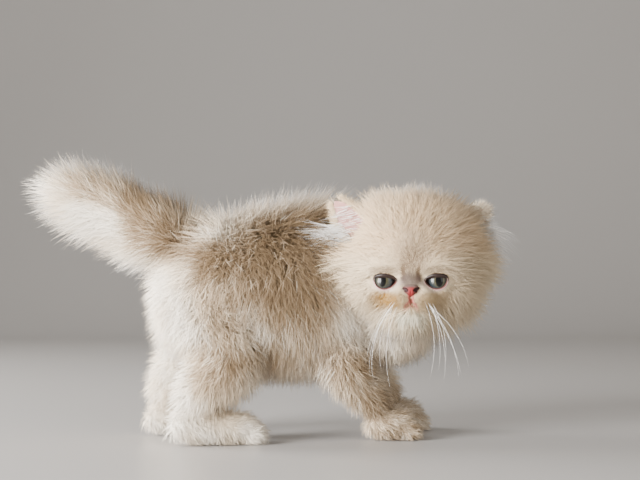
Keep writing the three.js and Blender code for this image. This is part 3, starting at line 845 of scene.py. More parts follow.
MARKINGS = [
    # an oval's middle in x and z, its half sizes, and how much darker the coat is in it
    ((14, 106), (34, 34), 0.8),
    ((-42, 90), (18, 30), 0.26),
    ((-4, 76), (40, 30), 0.28),
    ((46, 66), (18, 44), 0.12),
    ((-25, 95), (11, 11), 0.12),
    ((-74, 140), (24, 30), 0.74),
    ((-104, 164), (40, 17), 0.42),
    ((-44, 44), (22, 17), 0.44),
    # painted shade: this oval darkens the coat on the forepaws, which lie in shade
    ((84, 12), (36, 22), 0.4),
    ((54, 34), (22, 20), 0.3),
    ((36, 92), (12, 24), -0.36),
    ((-44, 113), (13, 10), 0.22),
    ((-14, 126), (16, 9), -0.1),
    ((-54, 138), (10, 12), -0.3),
    ((12, 48), (50, 15), 0.26),
]


def coat_colour(wire):
    spot, face = wire.stored("spot", 1), wire.stored("face", 1)
    head, of_ear, along, draw = (wire.stored(name) for name in ("head", "of_ear", "along", "draw"))
    mouth, lid, ear = (wire.stored(name) for name in ("mouth", "lid", "ear"))
    x, y, z = spot.parts()
    hx, hy, hz = face.parts()
    broad = wire.node("ShaderNodeTexNoise", values={"Vector": spot, "Scale": 0.04, "Detail": 2.0})
    close = wire.node("ShaderNodeTexNoise", values={"Vector": spot, "Scale": 0.13, "Detail": 3.0})
    curls = wire.node("ShaderNodeTexNoise", values={"Vector": face, "Scale": 0.3, "Detail": 2.0})

    def blotch(u, v, middle, half, soft=0.5, uneven=1.2):
        """1 inside an oval of the plane of u and v, with a soft uneven edge."""
        reach = ((u - middle[0]) / half[0]) ** 2 + ((v - middle[1]) / half[1]) ** 2
        return 1 - (reach + (close - 0.5) * uneven).above(1 - soft, 1 + soft)

    arch = wire.maths("ABSOLUTE", z - x * 0.29 - 125)
    ridge = z.above(122, 138) * x.above(-50, -14)
    dark = (1 - arch.above(3, 24)) * x.above(-72, -40) * 0.52 + ridge * 0.36
    for middle, half, darker in MARKINGS:
        dark = dark + blotch(x, z, middle, half, 0.9) * darker
    rump = (x * -1 - z * 0.1).above(52, 60) * (1 - z.above(100, 122))
    dark = dark * (1 - rump)
    uneven = ((draw - 0.5) * 0.6 + (close - 0.5) * 1.7) * (dark * 1.5 + 0.1)
    ticked = dark * 1.16 + uneven
    colour = broad.above(0.35, 0.65).toned(PALE, CREAM)
    colour = ticked.above(0.05, 0.55).toned(colour, BUFF)
    colour = ticked.above(0.4, 0.95).toned(colour, BROWN)

    on_left = hx.above(-1, 1)
    hx = wire.maths("ABSOLUTE", hx)
    front = (hy * -1).above(14, 20)
    crown = hz.above(-4, 14) * (1 - of_ear * 0.8)
    # Painted shade: a brown band just above each eye, under the brow's fold over the lid.
    fold_shade = blotch(hx, hz, (16.5, -5.0), (9.5, 3.4), 0.7, 0.6) * front
    brow = blotch(hx, hz, (0, 6), (12, 15), 0.8) * front
    smudge = blotch(hx, hz, (1.5, 2), (6, 8), 0.9, 2.0) * front
    frown = blotch(hx, hz, (4.9, -7.0), (1.6, 5.5), 0.7) * front
    muzzle = blotch(hx, hz, (0, -24), (14, 8), 0.8) * front
    # The stains are weaker on the left: partly an uneven stain, and partly painted light lifting that
    # side, which lies in shade.
    tear = blotch(hx, hz, (16.5, -23.5), (9.5, 6.2), 0.9) * front * (1 - on_left * 0.6)
    bridge = blotch(hx, hz, (0, -12.0), (7.0, 7.0), 0.6, 0.5) * front
    # Painted shade under the chin: the top of the chest is tinted buff.
    under_chin_shade = 1 - hz.above(-48, -38)
    cheek = blotch(hx, hz, (34, -16), (12, 20), 0.9)
    beard = (1 - hz.above(-35, -30)) * hz.above(-47, -37) * (1 - hx.above(7, 12)) * (hy * -1).above(4, 12)
    lips = (1 - mouth.above(0.8, 2.2)) * (1 - hx.above(3.2, 5.6)) * front
    near_eye = (1 - lid.above(1.15, 1.7)) * front
    rim = (1 - lid.above(1.06, 1.2)) * front
    layers = [
        # how strongly a tone covers what lies under it, and the tone
        (curls.above(0.4, 0.66) * (crown * 0.4 + 0.1) + crown * 0.12, BUFF),
        # painted shade under the brow's fold
        (fold_shade * (0.35 + draw * 0.5), SMOKE),
        (brow * (0.5 + draw * 0.6), BUFF),
        (smudge * draw * 0.95, SMOKE),
        (frown, SMOKE),
        (muzzle * 0.85, BEIGE),
        (tear * (0.3 + draw * 0.6 + curls * 0.6), AMBER),
        (bridge * 0.9, DOVE),
        # painted shade under the chin
        (under_chin_shade * 0.4, BUFF),
        (cheek * 0.25, BUFF),
        (beard, IVORY),
        (lips * 0.8, ROSE),
        # lilac below each eye, and above it smoke as painted shade under the brow
        (near_eye * 0.6, hz.above(-14, -8).toned(LILAC, SMOKE)),
        (rim, UMBER),
    ]
    head_colour = (crown * (0.35 + close * 0.7) + draw * 0.3).toned(CREAM_PALE, PEACH)
    for cover, tone in layers:
        head_colour = cover.toned(head_colour, tone)
    colour = head.toned(colour, head_colour)
    # The coat on the right ear is tinted peach. On the left ear, which lies in the head's shade, it is
    # painted whiter instead, as painted light.
    colour = (of_ear * (0.35 - on_left * 0.35)).toned(colour, PEACH)
    colour = (of_ear * on_left * 0.3).toned(colour, WHITE)
    colour = ear.toned(colour, PINK)

    # Each hair is painted darker towards its root, as painted shade deep in the coat, and a little lighter
    # or darker by its own draw.
    depth = (along * 0.3 + draw * 0.16 + 0.7).above(0, 1)
    shade = wire.node("ShaderNodeCombineXYZ", values={0: depth, 1: depth, 2: depth * 0.98})
    mixed = {"data_type": "RGBA", "blend_type": "MULTIPLY"}
    return wire.node("ShaderNodeMix", mixed, {0: 1.0, 6: colour, 7: shade}, out=2)


skin_finish, wire, shader = finish_of("skin", Roughness=0.75, Specular_IOR_Level=0.2)
feed(shader, Base_Color=coat_colour(wire))
pores = wire.node("ShaderNodeTexNoise", values={"Scale": 900.0, "Detail": 2.0})
bump = wire.node("ShaderNodeBump", values={"Strength": 0.25, "Distance": 0.0004, "Height": pores})
feed(shader, Normal=bump)
hide.materials.append(skin_finish)


# The eyes: balls of glass behind the lids, each domed over its iris, which is grey-green to
# grey-blue with a dark outline and an upright pupil. They look up and apart a little.
GAZE = {"right": (-9, 5), "left": (9, 5)}
IRIS_RADIUS, IRIS_HEART, IRIS_RAYS = 6.5, 2.2, 9
PUPIL_HALF = 2.3, 3.7
DOME = 0.05
IRIS_INNER, IRIS_OUTER, IRIS_RIM = tint(74, 70, 50), tint(50, 57, 61), tint(16, 14, 14)
PUPIL, EYE_WHITE = tint(6, 6, 7), tint(52, 38, 34)


def iris_colour(wire):
    x, y, z = wire.stored("gaze", 1).parts()
    reach = wire.maths("SQRT", x**2 + y**2)
    turn = wire.maths("ARCTAN2", y, x)
    rays = wire.node("ShaderNodeCombineXYZ", values={0: turn * IRIS_RAYS, 1: reach * 0.35, 2: z * 0})
    fibres = wire.node("ShaderNodeTexNoise", values={"Vector": rays, "Scale": 1.6, "Detail": 4.0})
    colour = ((reach - IRIS_HEART) / 3 + (fibres - 0.5) * 0.9).above(0, 1).toned(IRIS_INNER, IRIS_OUTER)
    colour = (fibres.above(0.45, 0.75) * 0.35).toned(colour, IRIS_RIM)
    colour = reach.above(IRIS_RADIUS - 1.1, IRIS_RADIUS - 0.4).toned(colour, IRIS_RIM)
    colour = reach.above(IRIS_RADIUS, IRIS_RADIUS + 0.4).toned(colour, EYE_WHITE)
    slit = wire.maths("SQRT", (x / PUPIL_HALF[0]) ** 2 + (y / PUPIL_HALF[1]) ** 2)
    return (1 - slit.above(0.92, 1.08)).toned(colour, PUPIL)


eye_finish, wire, shader = finish_of(
    "eye", Roughness=0.3, Specular_IOR_Level=0.1, Coat_Weight=0.6, Coat_Roughness=0.02
)
feed(shader, Base_Color=iris_colour(wire))
for side, sign in SIDES.items():
    yaw, pitch = (math.radians(value) for value in GAZE[side])
    gaze = np.array([math.sin(yaw) * math.cos(pitch), -math.cos(yaw) * math.cos(pitch), math.sin(pitch)])
    across = unit(np.cross(UP, gaze))
    local, faces = closed(ball, 72, 96)
    local *= EYE_RADIUS * (1 + DOME * in_step(local[:, 2:], 0.6, 0.98))
    points = EYE_AT * (sign, 1, 1) + local @ np.array([across, np.cross(gaze, across), gaze])
    eye_mesh = mesh_from("eye_" + side, from_head(points), faces)
    mark(eye_mesh, "gaze", local)
    eye_mesh.materials.append(eye_finish)
    eye = placed("eye_" + side, eye_mesh)
    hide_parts("eye_" + side)
    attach(eye, "root")


# The lids' rims: a moist roll of skin round each opening, that starts behind the eyeball's
# surface and turns over onto the face. It is dark brown above, where it hangs over the eye a
# little, and pinkish white below.
LID_ROLL = [
    # how far out from the opening, the share of the way from eyeball to face, and the lift
    (-0.35, 0.0, -0.6),
    (-0.3, 0.0, 0.25),
    (0.0, 0.2, 0.55),
    (0.4, 0.6, 0.75),
    (0.8, 0.9, 0.6),
    (1.15, 1.0, 0.1),
    (1.4, 1.0, -0.5),
    (0.5, 0.5, -1.6),
]
LID_STEPS = 72
LID_THICK_ABOVE, LID_HANG = 1.9, 0.8
LID_BALL_EDGE = 0.95
PROBE_START, PROBE_REACH = -8.0, 40
LID_WHITE, LID_PINK, LID_BROWN = tint(206, 168, 162), tint(104, 62, 58), tint(40, 28, 25)


def face_front(x, z):
    """How far forward the face's surface is at x and z of the head's frame."""
    start = np.stack([x, np.full(len(x), PROBE_START), z], -1)
    return on_head(start, np.tile([0.0, -1.0, 0.0], (len(x), 1)), 0, PROBE_REACH)[:, 1]


lid_finish, wire, shader = finish_of("lid", Roughness=0.4, Specular_IOR_Level=0.4)
across, lower = wire.stored("across"), wire.stored("lower")
outer_lid = lower.toned(LID_BROWN, LID_WHITE)
inner_lid = lower.toned(LID_BROWN, LID_PINK)
feed(shader, Base_Color=across.above(0.45, 0.65).toned(inner_lid, outer_lid))
turns = np.linspace(0, 2 * math.pi, LID_STEPS, endpoint=False)
run, rise = np.cos(turns), np.sin(turns)
square = np.where(rise > 0, 2 / OPENING_SQUARE_ABOVE, 1)
run_square, rise_square = (np.sign(way) * np.abs(way) ** square for way in (run, rise))
for side, sign in SIDES.items():
    rings, ring_across = [], []
    for k, (out, share, lift) in enumerate(LID_ROLL):
        x = (np.where(run > 0, OPENING_OUTER, OPENING_INNER) + out) * run_square
        middle, pinch = opening_line(x)
        z = np.where(rise > 0, OPENING_ABOVE, OPENING_BELOW) * pinch
        z = z + np.where(rise > 0, out * LID_THICK_ABOVE - LID_HANG, out)
        z = middle + z * rise_square
        flat = np.minimum(x**2 + (z - EYE_AT[2]) ** 2, (LID_BALL_EDGE * EYE_RADIUS) ** 2)
        on_ball = EYE_AT[1] - np.sqrt(EYE_RADIUS**2 - flat)
        on_face = np.minimum(face_front(x + EYE_AT[0], z), on_ball)
        y = on_ball + share * (on_face - on_ball) - lift
        rings.append(np.stack([sign * (x + EYE_AT[0]), y, z], -1))
        ring_across.append(np.full(LID_STEPS, k / (len(LID_ROLL) - 2)))
    points = np.concatenate(rings)
    faces = []
    for k in range(len(LID_ROLL)):
        for j in range(LID_STEPS):
            row, after = k * LID_STEPS, (k + 1) % len(LID_ROLL) * LID_STEPS
            quad = (row + j, after + j, after + (j + 1) % LID_STEPS, row + (j + 1) % LID_STEPS)
            faces.append(quad if sign > 0 else quad[::-1])
    lid_mesh = mesh_from("lid_" + side, from_head(points), faces)
    mark(lid_mesh, "across", np.concatenate(ring_across))
    mark(lid_mesh, "lower", in_step(-np.tile(rise, len(LID_ROLL)), -0.1, 0.35))
    lid_mesh.materials.append(lid_finish)
    lid = placed("lid_" + side, lid_mesh)
    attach(lid, "root")


# The nose: a small cushion of bare leather, broad above with a slit of a nostril on each side, painted
# dark as shade within, and narrowing to the lip, pink-red in the middle and greyer at its upper edge.
NOSE_HALF = np.array([5.5, 3.0, 3.5])
NOSTRIL_AT, NOSTRIL_HALF, NOSTRIL_TURN = (3.6, 0.2), (2.5, 1.45), math.radians(20)
NOSTRIL_DEPTH = 1.6
NOSE_GROOVE_WIDTH, NOSE_GROOVE_DEPTH = 0.45, 0.4
NOSE_PINK, NOSE_RED, NOSTRIL_SHADE = tint(104, 60, 58), tint(146, 44, 46), tint(48, 20, 22)
nose_at = to_head(middle_of("nose") - ORIGIN)
local, faces = closed(ball, 72, 72)
local = local[:, [0, 2, 1]] * (1, -1, 1)
narrow = 0.5 + 0.5 * in_step(local[:, 2], -1.0, 0.2)
local = local * NOSE_HALF
local[:, 0] *= narrow
u, v = np.abs(local[:, 0]) - NOSTRIL_AT[0], local[:, 2] - NOSTRIL_AT[1]
slit_u = (u * math.cos(NOSTRIL_TURN) + v * math.sin(NOSTRIL_TURN)) / NOSTRIL_HALF[0]
slit_v = (v * math.cos(NOSTRIL_TURN) - u * math.sin(NOSTRIL_TURN)) / NOSTRIL_HALF[1]
nostril = (1 - in_step(np.hypot(slit_u, slit_v), 0.5, 1.1)) * (local[:, 1] < 0)
groove = np.exp(-((local[:, 0] / NOSE_GROOVE_WIDTH) ** 2)) * in_step(-local[:, 2], -0.5, 1.5)
local[:, 1] += NOSTRIL_DEPTH * nostril + NOSE_GROOVE_DEPTH * groove * (local[:, 1] < 0)
nose_mesh = mesh_from("nose", from_head(nose_at + local), faces)
mark(nose_mesh, "leather", local)
mark(nose_mesh, "nostril", nostril)
nose_finish, wire, shader = finish_of("nose", Roughness=0.55, Specular_IOR_Level=0.25)
leather, hollow = wire.stored("leather", 1), wire.stored("nostril")
x, y, z = leather.parts()
pebbles = wire.node("ShaderNodeTexVoronoi", values={"Vector": leather, "Scale": 2.2})
middle = (1 - wire.maths("ABSOLUTE", x).above(0.6, 2.6)) * (1 - z.above(0.6, 2.4))
colour = z.above(1.0, 2.8).toned(NOSE_PINK, DOVE)
colour = (middle * 0.9).toned(colour, NOSE_RED)
# the nostrils are painted dark, as shade within their hollows
feed(shader, Base_Color=hollow.above(0.08, 0.5).toned(colour, NOSTRIL_SHADE))
bump = wire.node("ShaderNodeBump", values={"Strength": 0.3, "Distance": 0.0002, "Height": pebbles})
feed(shader, Normal=bump)
nose_mesh.materials.append(nose_finish)
nose = placed("nose", nose_mesh)
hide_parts("nose")
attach(nose, "root")


# The coat: single hairs in thousands, each a solid tapering blade of three sides rooted in
# the skin. They follow the lie, stand as deep as the coat is there, and gather in wisps.
UNWRAP_PATCH = 0.003
BLADE_SINK = 0.17
SOFTNESS = 0.66
rng = np.random.default_rng(7)
hide.calc_loop_triangles()
triangles = rows_of(hide.loop_triangles, "vertices", 3, int)
a, b, c = (skin_points[triangles[:, k]] for k in range(3))
areas = np.linalg.norm(np.cross(b - a, c - a), axis=1) / 2
coat_finish, wire, shader = finish_of(
    "coat", Roughness=0.6, Specular_IOR_Level=0.22, Sheen_Weight=0.3, Sheen_Roughness=0.4
)
feed(shader, Base_Color=coat_colour(wire))


def blades(name, spine, widths, flat, chart, part, draw):
    """A mesh of tapering blades of three sides. spine holds each one's joints from root to
    tip, widths its width at each but the tip, flat the way that its flat side faces, and
    chart its place on the unwrap. For softness, flat also turns the way that it is shaded."""
    count, joints = len(spine), spine.shape[1] - 1
    tangent = unit(np.diff(spine, axis=1))
    side = unit(np.cross(tangent, flat[:, None]))
    up = np.cross(side, tangent)
    low = up * BLADE_SINK
    ring = np.stack([side / 2 - low, -side / 2 - low, 2 * low], 2)
    points = spine[:, :-1, None] + ring * widths[..., None, None]
    points = np.concatenate([points.reshape(count, -1, 3), spine[:, -1:]], 1)
    points[..., 2] = np.maximum(points[..., 2], SOLE_HEIGHT)
    each = 3 * joints + 1
    quads = [
        (3 * j + k, 3 * j + (k + 1) % 3, 3 * j + 3 + (k + 1) % 3, 3 * j + 3 + k)
        for j in range(joints - 1)
        for k in range(3)
    ]
    last = 3 * joints - 3
    tips = [(2, 1, 0)] + [(last + k, last + (k + 1) % 3, each - 1) for k in range(3)]
    starts = np.arange(count)[:, None] * each
    loops = np.concatenate([starts + np.array(quads, int).ravel(), starts + np.array(tips).ravel()], 1)
    sizes = np.array([4] * len(quads) + [3] * len(tips))
    mesh = bpy.data.meshes.new(name)
    mesh.vertices.add(count * each)
    mesh.vertices.foreach_set("co", ((points.reshape(-1, 3) + ORIGIN) * MM).ravel())
    mesh.loops.add(loops.size)
    mesh.loops.foreach_set("vertex_index", loops.ravel().astype(np.int32))
    mesh.polygons.add(count * len(sizes))
    begins = np.concatenate([[0], np.cumsum(np.tile(sizes, count))[:-1]])
    mesh.polygons.foreach_set("loop_start", begins.astype(np.int32))
    mesh.polygons.foreach_set("use_smooth", np.ones(count * len(sizes), bool))
    mesh.update(calc_edges=True)
    along = np.append(np.repeat(np.linspace(0, 1, joints + 1)[:-1], 3), 1)
    spots = np.repeat((spine[:, joints - 1] + spine[:, joints]) / 2, each, 0)
    mark_coat(mesh, spots, np.repeat(part, each), np.tile(along, count), np.repeat(draw, each))
    places = np.stack([np.append(np.tile([0.0, 0.5, 1.0], joints), 0.5), along], -1) - 0.5
    patch = chart[:, None] + UNWRAP_PATCH * places
    uv = patch.reshape(-1, 2)[loops.ravel()]
    mesh.uv_layers.new(name="OFBake").data.foreach_set("uv", uv.astype(np.float32).ravel())
    own = rows_of(mesh.vertex_normals, "vector", 3)
    turned = unit(own * (1 - SOFTNESS) + np.repeat(flat, each, 0) * SOFTNESS)
    mesh.normals_split_custom_set_from_vertices(turned.tolist())
    return mesh


def chart_of(part, roots):
    """Where roots lie on an unwrap of the skin: along and round the form that carries them."""
    if part >= HEAD_PART:
        way = unit(to_head(roots) - HEAD_CORE)
        spot = np.stack([np.arctan2(way[:, 0], -way[:, 1]) / math.pi, way[:, 2]], -1) / 2 + 0.5
    else:
        t, angle, gap = LIES[part][0].near(roots)
        spot = np.stack([t, angle / (2 * math.pi) + 0.5], -1)
    return 0.01 + 0.98 * spot


def swirl(points, size, seed):
    """A smooth uneven value of about -1 to 1 over space, with lumps of about a size."""
    draws = np.random.default_rng(seed)
    ways = unit(draws.normal(size=(6, 3))) * (2 * math.pi / size)
    phases = draws.uniform(0, 2 * math.pi, 6)
    return np.sin(points @ ways.T + phases).mean(1) * 1.6


def sown(here, count):
    """Roots spread evenly over the skin where here is true: each one's place, the skin's
    normal, the coat's depth and its lie there, and the form that carries it."""
    chosen = np.flatnonzero(here)
    reach = np.cumsum(areas[chosen])
    pick = (np.arange(count) + rng.random(count)) / count * reach[-1]
    triangle = triangles[chosen[np.searchsorted(reach, pick)]]
    u, v = rng.random((2, count, 1))
    u, v = np.where(u + v > 1, 1 - u, u), np.where(u + v > 1, 1 - v, v)
    shares = np.stack([1 - u - v, u, v], 1)
    roots, up, flow = ((table[triangle] * shares).sum(1) for table in (skin_points, normals, skin_flow))
    depth = (skin_depth[triangle] * shares[..., 0]).sum(1)[:, None]
    return roots, unit(up), depth, flow, skin_part[triangle[:, 0]]


def gathered(spine, roots, each, share):
    """Hairs with their tips drawn towards those of leaders near by, one for each few."""
    count = len(roots)
    leaders = rng.choice(count, max(2, count // each), replace=False)
    tree = kdtree.KDTree(len(leaders))
    for k, leader in enumerate(leaders):
        tree.insert(roots[leader], k)
    tree.balance()
    leader = leaders[[tree.find(root)[1] for root in roots]]
    s = np.linspace(0, 1, spine.shape[1])[:, None] ** 1.5
    pull = rng.uniform(0.3, 1.0, (count, 1, 1)) * share * s
    return spine + pull * (spine[leader, -1:] - spine[:, -1:])


# Hairs keep clear of the eyes' openings, above and below, and of the nose and the lips. Those
# that would hide an ear's inside are cut short.
EYE_CLEAR, NOSE_CLEAR, LIPS_CLEAR, LIPS_HALF = (1.5, 1.1), (5.2, 3.3), 0.6, 3.5
EYE_FRONT, NOSE_FRONT = -24, -29
EAR_COVER, EAR_SHORT = 0.95, 0.3


def bare(spine):
    """True for hairs that would cross an eye, the nose or the mouth."""
    at_head = to_head(spine.reshape(-1, 3))
    x, y, z = at_head.T
    above = z > opening_line(np.abs(x) - EYE_AT[0])[0]
    blind = (opening_reach(at_head) < np.where(above, *EYE_CLEAR)) & (y < EYE_FRONT)
    wide, high = NOSE_CLEAR
    on_nose = ((x / wide) ** 2 + ((z - nose_at[2]) / high) ** 2 < 1) & (y < NOSE_FRONT)
    on_lips = (mouth_distance(at_head) < LIPS_CLEAR) & (np.abs(x) < LIPS_HALF)
    return (blind | on_nose | on_lips).reshape(len(spine), -1).any(1)


def parted(spine):
    """Hairs cut short where they would hide the inside of an ear."""
    joints = spine.shape[1]
    at_head = to_head(spine.reshape(-1, 3))
    hides = np.zeros(len(at_head), bool)
    for side, limb in ears.items():
        t, before, aside, half, gap = ear_spot(limb, at_head)
        inside = (t > EAR_ROOT) & (aside < half * EAR_COVER)
        hides |= inside & (before > 0) & (before < EAR_PARTING[side])
    hides = hides.reshape(-1, joints).any(1)
    short = spine[:, :1] + (spine - spine[:, :1]) * EAR_SHORT
    return np.where(hides[:, None, None], short, spine)


# How hairs stand: they lean with the lie, and one that leans is longer for the same depth of
# coat. They sway together in lumps and each by itself, rise most at the root, and sag.
LEAN = 1.6
LEANING_LONGER, LEANING_EXTRA = 0.45, 2
SWAYS = [
    # how far hairs sway together, over lumps of which size, and the draw of the lumps
    (0.3, 34, 3),
    (0.28, 12, 4),
]
OWN_SWAY, OWN_RISE = 0.3, 0.18
LONGEST, SHORTENING, FEW_SHORT, RAGGED = 1.06, 0.5, 1.7, 0.06
RISE_AT_ROOT, RISE_AT_TIP = 1.3, 0.7
ROOT_SINK, SAG, CURL = 0.4, 0.06, 0.05
FINEST, FULL_AT, THICKEST = 0.6, 50, 1.1


def grow(name, here, count, width, joints=2, share=1.0, leaning=0.62, wisps=5, draw_in=0.2, wild=1.9):
    """One piece of the coat, on the triangles of the skin where here is true. Share is how
    much of the coat's depth its hairs reach, leaning how much they follow its lie, wisps how
    many gather together, draw_in how closely, and wild how far each strays by itself."""
    roots, up, depth, flow, part = sown(here, count)
    draw = rng.random(count)
    lie = flow - dot(flow, up) * up
    lean = leaning * np.clip(LEAN * np.linalg.norm(lie, axis=1, keepdims=True), 0, 1)
    lie = unit(lie)
    sway = sum(far * swirl(roots, size, seed) for far, size, seed in SWAYS)
    astray = sway + OWN_SWAY * wild * rng.normal(size=count)
    lie = unit(lie + astray[:, None] * np.cross(up, lie))
    depth = depth * share
    full = depth * (1 + LEANING_LONGER * lean) + LEANING_EXTRA * lean
    shorter = SHORTENING * rng.random((count, 1)) ** FEW_SHORT
    length = full * (LONGEST - shorter + RAGGED * rng.normal(size=(count, 1)))
    rise = depth / full * (1 + OWN_RISE * wild * rng.normal(size=(count, 1)))
    first, last = np.clip(RISE_AT_ROOT * rise, 0.1, 0.99), np.clip(RISE_AT_TIP * rise, 0.02, 0.97)
    start = up * first + lie * np.sqrt(1 - first**2)
    finish = up * last + lie * np.sqrt(1 - last**2)
    s = np.linspace(0, 1, joints + 1)[None, :, None]
    spine = roots[:, None] - ROOT_SINK * up[:, None] + length[:, None] * (
        s * start[:, None] + s**2 / 2 * (finish - start)[:, None]
    )
    spine[..., 2] -= SAG * length * s[..., 0] ** 2
    curl = CURL * length * rng.normal(size=(count, 1))
    spine += (curl * np.sin(math.pi * s[..., 0]))[..., None] * np.cross(up, lie)[:, None]
    spine = parted(gathered(spine, roots, wisps, draw_in))
    taper = width * (1 - s[:, :-1, 0] ** 2) * np.clip(FINEST + length / FULL_AT, FINEST, THICKEST)
    widths = taper * (0.8 + 0.4 * rng.random((count, 1)))
    keep = ~bare(spine)
    chart = chart_of(np.bincount(part).argmax(), roots)
    coat = blades(name, spine[keep], widths[keep], up[keep], chart[keep], part[keep], draw[keep])
    coat.materials.append(coat_finish)
    coat = placed(name, coat)
    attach(coat, "root")


WOOL = {"joints": 1, "share": 0.6}
part, depth = skin_part[triangles[:, 0]], skin_depth[triangles].mean(1)
centres, facing = skin_points[triangles].mean(1), normals[triangles[:, 0]]
above_face = to_head(centres)[:, 2] > 2
of_head = part == HEAD_PART
long_head, short_head = of_head & (depth > 7), of_head & (depth <= 7)
on_torso, on_tail, on_neck = part == TORSO_PART, part == TAIL_PART, part == NECK_PART
on_top, right_side, hind = facing[:, 2] > 0.5, centres[:, 1] < 0, centres[:, 0] < 0
legs, on_paws = np.isin(part, LEG_PARTS), np.isin(part, PAW_PARTS)
ear_back = (part > HEAD_PART) & ((inside_ear[triangles[:, 0]] < 0.5) | (to_head(centres)[:, 0] > 0))
grow("coat_face", short_head, 14000, 0.48, leaning=0.9, wisps=4, draw_in=0.25, wild=1.4)
grow("coat_head_above", long_head & above_face, 13500, 0.44, wisps=6, draw_in=0.4, wild=2.8)
grow("coat_head_below", long_head & ~above_face, 13500, 0.48, leaning=0.8)
grow("coat_neck", on_neck, 8000, 0.48)
grow("coat_back", on_torso & on_top, 10500, 0.46)
grow("coat_flank_right", on_torso & ~on_top & right_side, 13500, 0.46)
grow("coat_flank_left", on_torso & ~on_top & ~right_side, 8500, 0.58)
grow("coat_tail", on_tail, 10500, 0.46, leaning=0.8)
grow("coat_hind_legs", legs & hind, 11000, 0.5)
grow("coat_forelegs", legs & ~hind, 8500, 0.5)
grow("coat_paws", on_paws, 7500, 0.5, leaning=0.9)
grow("coat_ears", ear_back, 2500, 0.5, leaning=0.9)
grow("wool_head", of_head & (depth > 4), 17000, 0.78, leaning=0.45, **WOOL)
grow("wool_body", on_torso | on_neck, 30000, 0.85, leaning=0.45, **WOOL)
grow("wool_tail", on_tail, 8000, 0.8, leaning=0.6, **WOOL)
grow("wool_legs", legs | on_paws, 16000, 0.7, leaning=0.6, **WOOL)


# The whiskers, stiff and white, hang from the muzzle. White hairs stream out of the ears, and
# a short fringe in the coat's own colour runs along both rims of each. All are rooted in the
# skin and made as the coat's hairs are.
WHISKERS, WHISKER_WIDTH, WHISKER_JOINTS, WHISKER_TAPER = 7, 0.17, 9, 0.7
WHISKER_X, WHISKER_Z, WHISKER_LENGTH = (6.5, 11.5), (-26.0, -20.5), (42, 58)
WHISKER_LEAVE, WHISKER_ARRIVE = np.array([0.52, -0.22, -0.66]), np.array([-0.08, 0.22, -1.0])
WHISKER_SPREAD, WHISKER_TIPS_WIDER = (0.15, 0.06, 0.12), 1.6
WHISKER_SINK = 1
EAR_HAIR_WIDTH, EAR_HAIR_JOINTS, EAR_HAIR_TAPER, EAR_HAIR_SINK = 0.34, 3, 0.8, 1.0
EAR_BARE = {"right": 1.0, "left": 0.0}  # the left ear's hair starts at its middle instead
HAIR_FACING = unit(np.array([-0.5, -0.8, 0.35]))
white_finish, wire, shader = finish_of("white_hair", Roughness=0.45, Base_Color=WHITE)
EAR_HAIR = [
    # name, count, from and to along the ear and across it, the way that it leaves and the way
    # that it comes to lie, as parts outwards, forwards and along the ear, with the last for
    # each side, its lengths, how much longer on each side, how far it strays, and its finish
    ("ear_hair", 260, (0.0, 0.5), (0.45, 1.0), (0.6, 0.6, 0.6), (0.75, 0.1), (0.5, -0.2),
     (11, 25), (1.35, 1.45), 0.208, white_finish),
    ("ear_streaks", 60, (0.1, 0.7), (-0.9, 0.5), (0.7, 0.5, 0.5), (0.9, 0.0), (0.3, 0.3),
     (8, 15), (1, 1), 0.13, white_finish),
    ("ear_fringe", 520, (0.05, 0.97), (0.6, 0.96), (0.3, 0.35, 0.7), (0.5, -0.1), (0.7, 0.7),
     (3, 6), (1, 1), 0.312, coat_finish),
    ("ear_brow", 520, (0.05, 0.97), (-0.6, -0.96), (-0.3, 0.35, 0.7), (-0.3, 0.0), (0.9, 0.9),
     (3, 6), (1, 1), 0.312, coat_finish),
]


def stream(starts, leave, arrive, length, joints):
    """Hairs that leave in one way and turn evenly to another."""
    s = np.linspace(0, 1, joints + 1)[None, :, None]
    turning = s * unit(leave)[:, None] + s**2 / 2 * (unit(arrive) - unit(leave))[:, None]
    return starts[:, None] + length[:, None, None] * turning


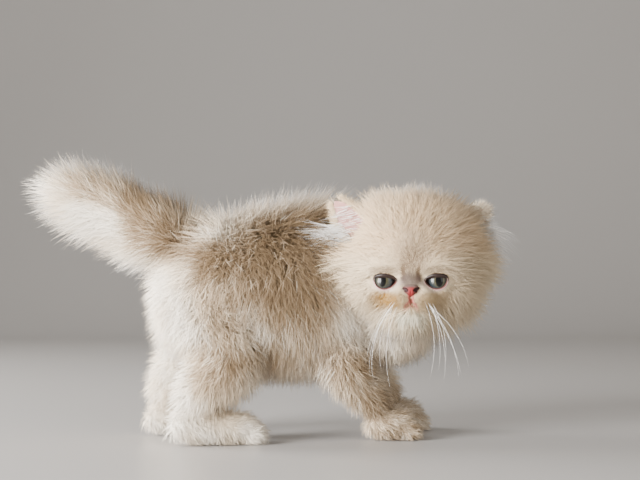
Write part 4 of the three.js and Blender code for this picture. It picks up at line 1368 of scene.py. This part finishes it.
def strands(name, spine, widths, chart, part, finish):
    """A piece of hairs of one finish, which all face the light alike."""
    count = len(spine)
    facing = np.tile(HAIR_FACING, (count, 1))
    mesh = blades(
        name, spine, np.tile(widths, (count, 1)), facing, chart, np.full(count, part), rng.random(count)
    )
    mesh.materials.append(finish)
    return placed(name, mesh)


for side, sign in SIDES.items():
    x, z = rng.uniform(*WHISKER_X, WHISKERS), rng.uniform(*WHISKER_Z, WHISKERS)
    starts = np.stack([x, face_front(x, z) + WHISKER_SINK, z], -1)
    spread = rng.normal(size=(WHISKERS, 3)) * WHISKER_SPREAD
    arrive = WHISKER_ARRIVE + WHISKER_TIPS_WIDER * spread
    length = rng.uniform(*WHISKER_LENGTH, WHISKERS)
    spine = stream(starts, WHISKER_LEAVE + spread, arrive, length, WHISKER_JOINTS)
    widths = WHISKER_WIDTH * (1 - WHISKER_TAPER * np.linspace(0, 1, WHISKER_JOINTS))
    chart = np.full((WHISKERS, 2), 0.5)
    whiskers = strands(
        "whiskers_" + side, from_head(spine * (sign, 1, 1)), widths, chart, HEAD_PART, white_finish
    )
    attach(whiskers, "root")

    limb = ears[side]
    for name, count, along, across, leave, arrive, rise, lengths, longer, stray, finish in EAR_HAIR:
        t = rng.uniform(*along, count)
        row, ups, sides = (limb.at(table, t) for table in (limb.rows, limb.ups, limb.sides))
        outer = np.where(sides[:, 2:] < 0, 1, -1) * sides
        least, most = across[0] * EAR_BARE[side], across[1]
        out = (least + (most - least) * rng.random(count)) * row[:, 3]
        starts = row[:, :3] + outer * out[:, None] - ups * EAR_HAIR_SINK
        axes = np.stack([outer, ups, limb.at(limb.tangents, t)], 1)
        spread = rng.normal(size=(count, 3)) * stray
        leave, arrive = (
            (np.array(way)[:, None] * axes).sum(1) + spread for way in (leave, (*arrive, rise[sign > 0]))
        )
        length = rng.uniform(*lengths, count) * longer[sign > 0]
        spine = from_head(stream(starts, leave, arrive, length, EAR_HAIR_JOINTS))
        widths = EAR_HAIR_WIDTH * (1 - EAR_HAIR_TAPER * np.linspace(0, 1, EAR_HAIR_JOINTS) ** 2)
        chart = chart_of(HEAD_PART, spine[:, 0])
        hair = strands(f"{name}_{side}", spine, widths, chart, HEAD_PART + 1, finish)
        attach(hair, "root")
